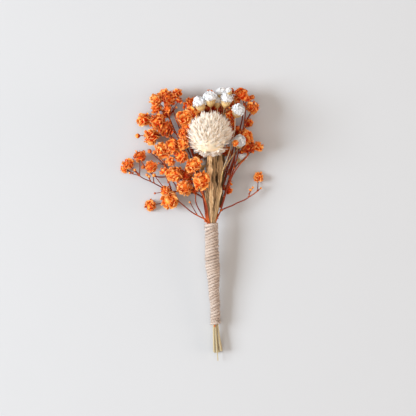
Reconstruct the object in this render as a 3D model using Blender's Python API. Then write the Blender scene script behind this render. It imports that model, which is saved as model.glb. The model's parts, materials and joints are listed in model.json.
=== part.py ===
"""A small dried flower bouquet, tied with twine and lying on a table.

The bunch lies along Y with its flowers at +Y and its cut stems at -Y. Z is up, and z = 0 is the table.
Lists of places are in millimetres and are turned into metres by MM where they are used.
"""
import math

import bmesh
import bpy
import numpy as np

MM = 0.001

# Twine binding: the sleeve that holds every stem. Each row gives y, the centre's x and the outer radius.
BINDING_OUTLINE = (
    (1.2, 9.9, 3.33), (-11.4, 10.15, 3.4), (-15.8, 10.25, 3.66), (-21.5, 10.65, 3.5),
    (-28.0, 11.1, 2.93), (-34.0, 11.25, 2.6), (-40.2, 11.75, 2.45), (-50.3, 12.1, 2.45),
)
BINDING_TOP, BINDING_BOTTOM = 1.2, -50.3
BINDING_TOP_HEIGHT, BINDING_BOTTOM_HEIGHT = 8.3, 3.4
BORE = ((1.2, 2.65), (-23.0, 2.65), (-29.0, 2.2), (-34.5, 1.78), (-50.3, 1.76))
TWINE_WINDINGS = 23
TWINE_RELIEF = 0.26
TWINE_LEAN = 0.16
TWINE_SIDES = 12

# Stems are packed in the binding as one in the middle, six round it and thin ones outside those.
INNER_RING, OUTER_RING = 1.15, 2.05
THICK_STEM, THIN_STEM = 0.4, 0.3
THIN_STEM_END = -21.5
STUB_CENTRE_X, STUB_CENTRE_Z = 13.2, 2.42
STUB_RING = 2.1

# Globe head: a cream ball of pointed papery bracts.
GLOBE_CENTRE = np.array((9.0, 44.8, 17.6))
GLOBE_TILT = math.radians(19)
GLOBE_CORE = (8.5, 8.9)
GLOBE_REACH = (11.3, 11.8)
GLOBE_BRACTS = 156
BRACT_SWEEP = math.radians(17)
BRACT_HALF_WIDTH, BRACT_HALF_THICKNESS = 0.85, 0.36

SEAT_GAP = 0.25
LOWEST_STALK = 0.5

UP = np.array((0.0, 0.0, 1.0))

COLOURS = {
    "globe_bracts": (0.87, 0.78, 0.64),
    "white_bracts": (0.86, 0.87, 0.88),
    "golden_stalk": (0.60, 0.38, 0.14),
    "orange_bloom": (0.85, 0.22, 0.03),
    "dry_stem": (0.50, 0.36, 0.18),
    "twine": (0.64, 0.52, 0.43),
}


def unit(vector):
    """The vector at length one."""
    vector = np.asarray(vector, dtype=float)
    return vector / np.linalg.norm(vector)


def material(slot):
    """A Principled material in the slot's colour, dry and matt."""
    found = bpy.data.materials.get(slot)
    if found:
        return found
    made = bpy.data.materials.new(slot)
    made.use_nodes = True
    shader = made.node_tree.nodes["Principled BSDF"]
    shader.inputs["Base Color"].default_value = (*COLOURS[slot], 1.0)
    shader.inputs["Roughness"].default_value = 0.85
    made.diffuse_color = (*COLOURS[slot], 1.0)
    return made


def add_mesh(name, shell):
    """A mesh object from a shell, which is an array of points in millimetres and a list of faces."""
    points, faces = shell
    mesh = bpy.data.meshes.new(name)
    mesh.from_pydata((np.asarray(points) * MM).tolist(), [], faces)
    mesh.validate()
    return bpy.data.objects.new(name, mesh)


def frames(path):
    """Side and lift directions along a path, carried from point to point without twisting."""
    tangents = np.gradient(path, axis=0)
    tangents /= np.linalg.norm(tangents, axis=1)[:, None]
    side = np.cross(tangents[0], UP)
    if np.linalg.norm(side) < 0.2:
        side = np.cross(tangents[0], (0.0, 1.0, 0.0))
    sides = []
    for tangent in tangents:
        side = unit(side - tangent * np.dot(side, tangent))
        sides.append(side)
    sides = np.array(sides)
    return sides, np.cross(sides, tangents)


def ring_faces(rings, sides):
    """Quads between neighbouring rings of points, and a flat cap on the first and the last ring."""
    faces = []
    for ring in range(rings - 1):
        for step in range(sides):
            after = (step + 1) % sides
            low, high = ring * sides, (ring + 1) * sides
            faces.append((low + step, low + after, high + after, high + step))
    faces.append(tuple(reversed(range(sides))))
    faces.append(tuple(range((rings - 1) * sides, rings * sides)))
    return faces


def tube(path, half_widths, half_heights=None, sides=5):
    """A stem along a path. Its section is an oval that is half_widths across and half_heights up."""
    path = np.asarray(path, dtype=float)
    wide = np.interp(np.linspace(0, 1, len(path)), np.linspace(0, 1, len(half_widths)), half_widths)
    half_heights = half_widths if half_heights is None else half_heights
    high = np.interp(np.linspace(0, 1, len(path)), np.linspace(0, 1, len(half_heights)), half_heights)
    side, lift = frames(path)
    angles = np.arange(sides) * 2 * math.pi / sides + 0.3
    points = (path[:, None] + side[:, None] * (wide[:, None] * np.cos(angles))[..., None]
              - lift[:, None] * (high[:, None] * np.sin(angles))[..., None])
    return points.reshape(-1, 3), ring_faces(len(path), sides)


def turned(centre, facing, rings, sides, random=None, rough=0.0):
    """A closed head turned round its facing direction.

    Each ring is (height, radius, lobe). The lobe scales every other point outwards and the rest inwards,
    so a ring becomes the notched edge of a layer of petals. Rings with a single point close the ends.
    """
    facing = unit(facing)
    across = unit(np.cross(facing, (0.31, -0.17, 0.93)))
    along = np.cross(facing, across)
    angles = np.arange(sides) * 2 * math.pi / sides
    points = [centre + facing * rings[0][0]]
    for row, (height, radius, lobe) in enumerate(rings[1:-1]):
        shifted = angles + row * 0.35 * (lobe > 0)
        swell = 1.0 + lobe * np.where(np.arange(sides) % 2, -1.0, 1.0)
        lift = np.zeros(sides)
        if random is not None and lobe > 0:
            swell = swell * (1.0 + rough * random.uniform(-1, 1, sides))
            lift = rough * radius * random.uniform(-1, 1, sides)
        points.extend(centre + facing * (height + lift)[:, None]
                      + across * (radius * swell * np.cos(shifted))[:, None]
                      + along * (radius * swell * np.sin(shifted))[:, None])
    points.append(centre + facing * rings[-1][0])
    faces = []
    last = len(points) - 1
    for row in range(len(rings) - 3):
        for step in range(sides):
            after = (step + 1) % sides
            low, high = 1 + row * sides, 1 + (row + 1) * sides
            faces.append((low + step, low + after, high + after))
            faces.append((low + step, high + after, high + step))
    for step in range(sides):
        after = (step + 1) % sides
        faces.append((0, 1 + after, 1 + step))
        faces.append((last, last - sides + step, last - sides + after))
    return np.array(points), faces


def ruffled_bloom(centre, radius, facing, random):
    """A double gypsophila bloom: two or three layers of notched petals round a small middle."""
    high = 0.82 * radius
    if radius >= 2.4:
        rings = ((-0.95 * high, 0, 0), (-0.6 * high, 0.62 * radius, 0), (0.0, 0.98 * radius, 0.12),
                 (0.2 * high, 0.66 * radius, 0), (0.85 * high, 0.68 * radius, 0.18), (0.5 * high, 0, 0))
        return turned(centre, facing, rings, 8, random=random, rough=0.1)
    if radius >= 1.5:
        rings = ((-0.95 * high, 0, 0), (-0.05 * high, 0.98 * radius, 0.13),
                 (0.25 * high, 0.62 * radius, 0), (0.85 * high, 0.56 * radius, 0.2), (0.55 * high, 0, 0))
        return turned(centre, facing, rings, 8, random=random, rough=0.1)
    rings = ((-1.1 * radius, 0, 0), (-0.4 * radius, 0.9 * radius, 0), (0.4 * radius, 0.9 * radius, 0),
             (0.95 * radius, 0, 0))
    return turned(centre, facing, rings, 4)


def everlasting_rings(radius):
    """The white head over its cup: three layers of pointed bracts, each standing out of the one below."""
    return ((-0.45 * radius, 0, 0), (-0.45 * radius, 0.45 * radius, 0), (-0.05 * radius, 0.86 * radius, 0),
            (0.38 * radius, 0.86 * radius, 0.15), (0.32 * radius, 0.55 * radius, 0),
            (0.82 * radius, 0.55 * radius, 0.18), (0.6 * radius, 0.26 * radius, 0), (0.95 * radius, 0, 0))


def cup_rings(radius):
    """The golden cup below a white head, from the stalk up to its flat rim."""
    rim = -0.45 * radius - SEAT_GAP
    return ((-1.3 * radius, 0, 0), (-1.25 * radius, 0.14 * radius, 0), (-0.95 * radius, 0.42 * radius, 0),
            (rim, 0.52 * radius, 0), (rim, 0, 0))


def link(thing, slot):
    """Put a finished object in the scene with its material."""
    thing.data.materials.clear()
    thing.data.materials.append(material(slot))
    bpy.context.scene.collection.objects.link(thing)
    return thing


def apply_modifiers(thing):
    """Replace an object's mesh by what its modifiers make of it."""
    bpy.context.view_layer.update()
    evaluated = thing.evaluated_get(bpy.context.evaluated_depsgraph_get())
    thing.data = bpy.data.meshes.new_from_object(evaluated)
    thing.modifiers.clear()


def keep_one_body(mesh):
    """Keep the largest shell alone, which drops loose scraps and fills hollows that fusing sealed."""
    work = bmesh.new()
    work.from_mesh(mesh)
    bmesh.ops.triangulate(work, faces=work.faces)
    left = set(work.verts)
    islands = []
    while left:
        stack = [left.pop()]
        island = set(stack)
        while stack:
            for edge in stack.pop().link_edges:
                for vert in edge.verts:
                    if vert in left:
                        left.discard(vert)
                        island.add(vert)
                        stack.append(vert)
        islands.append(island)
    islands.sort(key=len, reverse=True)
    for island in islands[1:]:
        bmesh.ops.delete(work, geom=list(island), context="VERTS")
    work.to_mesh(mesh)
    work.free()


def fuse(name, shells, slot, laid=False):
    """Join closed shells into one body by one union. A laid body is cut flat where it meets the table."""
    body = link(add_mesh(name, shells[0]), slot)
    group = bpy.data.collections.new(name + "_repeats")
    bpy.context.scene.collection.children.link(group)
    for shell in shells[1:]:
        group.objects.link(add_mesh(name + "_repeat", shell))
    union = body.modifiers.new("union", "BOOLEAN")
    union.operation = "UNION"
    union.operand_type = "COLLECTION"
    union.collection = group
    union.solver = "MANIFOLD"
    apply_modifiers(body)
    for repeat in list(group.objects):
        bpy.data.objects.remove(repeat)
    bpy.data.collections.remove(group)
    if laid:
        cut_flat(body)
    keep_one_body(body.data)
    return body


def cut_flat(body):
    """Take away what would reach below the table, which leaves small flat spots to rest on."""
    wide, deep = 120.0, 12.0
    corners = [(x, y, z) for z in (-deep, 0.0) for x, y in
               ((-wide, -wide), (wide, -wide), (wide, wide), (-wide, wide))]
    slab = link(add_mesh("table_cutter", (np.array(corners), ring_faces(2, 4))), "dry_stem")
    difference = body.modifiers.new("table", "BOOLEAN")
    difference.operation = "DIFFERENCE"
    difference.object = slab
    difference.solver = "MANIFOLD"
    apply_modifiers(body)
    bpy.data.objects.remove(slab)


def binding_centre(y):
    """The middle of the binding at a height y along it."""
    rows = np.array(BINDING_OUTLINE)[::-1]
    share = (y - BINDING_BOTTOM) / (BINDING_TOP - BINDING_BOTTOM)
    height = BINDING_BOTTOM_HEIGHT + share * (BINDING_TOP_HEIGHT - BINDING_BOTTOM_HEIGHT)
    return np.array((np.interp(y, rows[:, 0], rows[:, 1]), y, height))


def in_binding(degrees, ring, y):
    """A stem's place in the packed section of the binding."""
    angle = math.radians(degrees)
    return binding_centre(y) + ring * np.array((math.cos(angle), 0.0, math.sin(angle)))


def twine_binding():
    """The twine sleeve. Its windings are rings of relief that lean, as turns of a winding do."""
    rows = np.array(BINDING_OUTLINE)[::-1]
    bore_rows = np.array(BORE)[::-1]
    stations = np.linspace(BINDING_TOP, BINDING_BOTTOM, 2 * TWINE_WINDINGS + 1)
    angles = np.arange(TWINE_SIDES) * 2 * math.pi / TWINE_SIDES
    turn = np.stack((np.cos(angles), np.zeros(TWINE_SIDES), np.sin(angles)), axis=1)
    rings = []
    for number, y in enumerate(stations):
        radius = np.interp(y, rows[:, 0], rows[:, 2]) - TWINE_RELIEF * (number % 2 == 0)
        from_end = min(BINDING_TOP - y, y - BINDING_BOTTOM)
        lean = TWINE_LEAN * min(1.0, from_end / 4.0)
        ring = binding_centre(y) + radius * turn
        ring[:, 1] += lean * radius * np.cos(angles)
        rings.append(ring)
    for y in (BINDING_BOTTOM, -42.0, -34.5, -29.0, -23.0, -12.0, BINDING_TOP):
        rings.append(binding_centre(y) + np.interp(y, bore_rows[:, 0], bore_rows[:, 1]) * turn)
    points = np.concatenate(rings)
    faces = []
    for ring in range(len(rings)):
        following = (ring + 1) % len(rings)
        for step in range(TWINE_SIDES):
            after = (step + 1) % TWINE_SIDES
            low, high = ring * TWINE_SIDES, following * TWINE_SIDES
            faces.append((low + step, high + step, high + after))
            faces.append((low + step, high + after, low + after))
    binding = link(add_mesh("twine_binding", (points, faces)), "twine")
    work = bmesh.new()
    work.from_mesh(binding.data)
    bmesh.ops.recalc_face_normals(work, faces=work.faces)
    work.to_mesh(binding.data)
    work.free()


# Each dry stem: its place in the binding, its way from the binding to the flowers, its half width at the
# flowers and the y of its cut end.
DRY_STEMS = (
    ("dry_stem_1", 150, INNER_RING, ((8.5, 8, 9.2), (8.3, 15, 9.4), (8.8, 35.0, 10.2)), 0.9, -64.1),
    ("dry_stem_2", 0, 0.0, ((10.4, 8, 8.55), (10.9, 15, 8.9), (11.4, 36.0, 9.6)), 0.9, -68.7),
    ("dry_stem_3", 30, INNER_RING, ((12.2, 8, 9.2), (13.4, 15, 9.5), (14.3, 35.4, 10.3)), 0.9, -63.6),
    ("dry_stem_4", 210, INNER_RING, ((8.9, 8, 7.5), (9.2, 15, 7.4), (9.9, 36.4, 7.9)), 0.8, -64.8),
    ("dry_stem_5", 270, INNER_RING, ((10.9, 8, 6.9), (11.7, 15, 6.9), (12.9, 36.9, 7.6)), 0.8, -64.6),
    ("dry_stem_6", 330, INNER_RING, ((12.6, 8, 7.6), (14.0, 15, 7.6), (15.4, 35.2, 8.3)), 0.8, -63.9),
)


def stub_path(degrees, ring, end):
    """From a cut end up through the binding. The ends spread a little below it."""
    angle = math.radians(degrees)
    out = np.array((math.cos(angle), 0.0, math.sin(angle))) * (STUB_RING if ring else 0.0)
    foot = np.array((STUB_CENTRE_X, end, STUB_CENTRE_Z)) + out
    inside = [in_binding(degrees, ring, y) for y in (-52.0, -40.2, -28.0, -21.5, -15.8, 1.2)]
    return [foot] + inside


def dry_stem(name, degrees, ring, way, half_width, end):
    """A dry stem: round where it is packed and flattened, as a winged stem is, above the binding."""
    path = np.array(stub_path(degrees, ring, end) + list(way))
    count = len(path)
    widths = np.full(count, THICK_STEM)
    widths[-3:] = (0.6, half_width, 0.8 * half_width)
    heights = np.full(count, THICK_STEM)
    if ring == 0:
        widths[0] = heights[0] = 0.24
    stem = link(add_mesh(name, tube(path, widths, heights)), "dry_stem")
    if degrees == 270:
        cut_flat(stem)


def globe_axis():
    """The direction from the globe head's base to its tip."""
    return np.array((0.0, math.cos(GLOBE_TILT), math.sin(GLOBE_TILT)))


def globe_stem():
    """The stem of the globe head, the uppermost of the six in the binding."""
    base = GLOBE_CENTRE - globe_axis() * (GLOBE_CORE[1] + SEAT_GAP)
    path = stub_path(90, INNER_RING, -64.4) + [np.array((9.75, 8.0, 10.5)), np.array((9.6, 15.0, 11.6)),
                                               base + (0.1, -8.0, -1.8), base]
    widths = np.full(len(path), THICK_STEM)
    widths[-3:] = 0.62
    link(add_mesh("globe_stem", tube(path, widths, np.full(len(path), THICK_STEM))), "dry_stem")


def globe_point(polar, around, reach):
    """A point on an ellipsoid round the globe's centre. The polar angle is counted from the tip."""
    axis = globe_axis()
    across = np.array((1.0, 0.0, 0.0))
    lift = np.cross(across, axis)
    flat = math.sin(polar) * (math.cos(around) * across + math.sin(around) * lift)
    return GLOBE_CENTRE + reach[0] * flat + reach[1] * math.cos(polar) * axis


def globe_head():
    """The globe: a core with pointed bracts whose roots are sunk in it and whose tips sweep to the top.

    The bracts are spread by the golden angle. Each is a four-sided blade, widest at two fifths of its
    length. Those at the base are short and stand out as a ruffled rim.
    """
    random = np.random.default_rng(11)
    work = bmesh.new()
    bmesh.ops.create_icosphere(work, subdivisions=2, radius=1.0)
    ball = np.array([vert.co[:] for vert in work.verts])
    faces = [tuple(vert.index for vert in face.verts) for face in work.faces]
    work.free()
    across = np.array((1.0, 0.0, 0.0))
    axis = globe_axis()
    lift = np.cross(across, axis)
    core = (GLOBE_CENTRE + GLOBE_CORE[0] * (ball[:, :1] * across + ball[:, 1:2] * lift)
            + GLOBE_CORE[1] * ball[:, 2:] * axis)
    shells = [outward_facing(core, faces)]
    golden = math.pi * (3 - math.sqrt(5))
    for number in range(GLOBE_BRACTS):
        share = (number + 0.5) / GLOBE_BRACTS
        polar = math.acos(1 - 1.93 * share)
        around = number * golden
        low_rim = polar > math.radians(140)
        reach = random.uniform(0.95, 1.03) * (0.93 if low_rim else 1.0)
        sweep = BRACT_SWEEP * random.uniform(0.7, 1.3) * (0.35 if low_rim else 1.0)
        root = globe_point(polar, around, (GLOBE_CORE[0] - 1.6, GLOBE_CORE[1] - 1.6))
        tip = globe_point(max(polar - sweep, 0.02), around + random.uniform(-0.06, 0.06),
                          (GLOBE_REACH[0] * reach, GLOBE_REACH[1] * reach))
        shells.append(bract(root, tip, random.uniform(0.85, 1.15)))
    fuse("globe_head", shells, "globe_bracts")


def bract(root, tip, size):
    """A pointed four-sided blade from root to tip."""
    along = unit(tip - root)
    outward = unit(root - GLOBE_CENTRE)
    side = unit(np.cross(along, outward))
    face = np.cross(side, along)
    rows = ((0.0, 0.6), (0.5, 1.0))
    points = []
    for share, width in rows:
        middle = root + (tip - root) * share
        wide = side * BRACT_HALF_WIDTH * size * width
        thick = face * BRACT_HALF_THICKNESS * width
        points.extend((middle + wide, middle + thick, middle - wide, middle - thick))
    points.append(tip)
    faces = [(3, 2, 1, 0)]
    for step in range(4):
        after = (step + 1) % 4
        faces.append((step, after, 4 + after, 4 + step))
        faces.append((4 + step, 4 + after, 8))
    return outward_facing(np.array(points), faces)


def outward_facing(points, faces):
    """Turn the faces round where the shell came out inside out."""
    volume = 0.0
    for face in faces:
        for second, third in zip(face[1:-1], face[2:]):
            corners = points[[face[0], second, third]] - points[0]
            volume += np.dot(corners[0], np.cross(corners[1], corners[2]))
    return points, faces if volume > 0 else [tuple(reversed(face)) for face in faces]


# Everlasting heads: number, place of the white head, radius and the way it faces.
EVERLASTINGS = {
    1: ((3.6, 60.0, 13.6), 2.9, (-0.25, 1.0, 0.45)),
    2: ((9.3, 62.5, 14.2), 2.9, (0.05, 1.0, 0.5)),
    3: ((13.0, 61.0, 10.2), 2.3, (0.0, 1.0, 0.3)),
    4: ((17.7, 62.2, 13.2), 2.7, (0.2, 1.0, 0.45)),
    5: ((15.0, 66.2, 10.9), 2.4, (0.05, 1.0, 0.5)),
    6: ((18.7, 66.6, 15.9), 1.5, (-0.45, 0.8, 0.45)),
    7: ((23.2, 56.5, 14.6), 3.0, (0.2, 0.55, 0.85)),
    8: ((23.4, 41.4, 13.6), 3.0, (0.1, 0.4, 0.9)),
    9: ((25.2, 34.6, 4.4), 2.5, (0.45, 0.75, 0.5)),
    10: ((5.0, 30.3, 7.4), 2.2, (-0.1, 1.0, 0.35)),
}

# Everlasting stems: name, place in the binding, main way, and for each head the way from the main stem.
EVERLASTING_STEMS = (
    ("everlasting_stem_1", 240, ((7.7, 8, 6.0), (6.3, 24, 5.2), (5.7, 44, 4.7), (5.9, 52.5, 7.2)), {
        1: (), 2: ((5.9, 52.0, 7.0), (7.9, 56.0, 9.2)), 10: ((6.5, 21.0, 5.3), (5.9, 24.0, 5.8))}),
    ("everlasting_stem_2", 300, ((12.2, 8, 6.0), (13.3, 24, 5.2), (13.8, 44, 4.7), (14.1, 52.5, 7.2)), {
        3: (), 4: ((14.1, 52.2, 7.1), (16.3, 56.0, 9.6)), 5: ((14.1, 52.3, 7.1), (15.4, 58.0, 7.0)),
        6: ((16.3, 56.0, 9.6), (21.9, 61.2, 12.2)), 9: ((13.3, 24.0, 5.2), (18.5, 28.4, 4.5))}),
    ("everlasting_stem_3", 30, ((13.2, 8, 10.5), (14.9, 16, 11.2), (17.0, 28, 10.4), (20.4, 40, 8.4),
                                (22.1, 50, 10.6)), {
        7: (), 8: ((17.0, 28.0, 10.4), (20.5, 34.0, 10.6))}),
)


def everlasting_stem(name, degrees, way, heads):
    """Thin golden stalks that share one main stem, each with the cup that carries its white head."""
    inside = [in_binding(degrees, OUTER_RING, y) for y in (THIN_STEM_END, -15.8, 1.2)]
    main = inside + list(way)
    shells = []
    for number, branch in heads.items():
        centre, radius, facing = EVERLASTINGS[number]
        facing = unit(facing)
        foot = np.array(centre) - facing * 1.1 * radius
        shells.append(turned(np.array(centre), facing, cup_rings(radius), 6))
        if branch:
            shells.append(tube(list(branch) + [foot - facing * 0.9, foot], (0.3, 0.27), sides=3))
        else:
            shells.append(tube(main + [foot - facing * 0.9, foot], (THIN_STEM, 0.25)))
    fuse(name, shells, "golden_stalk")


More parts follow.
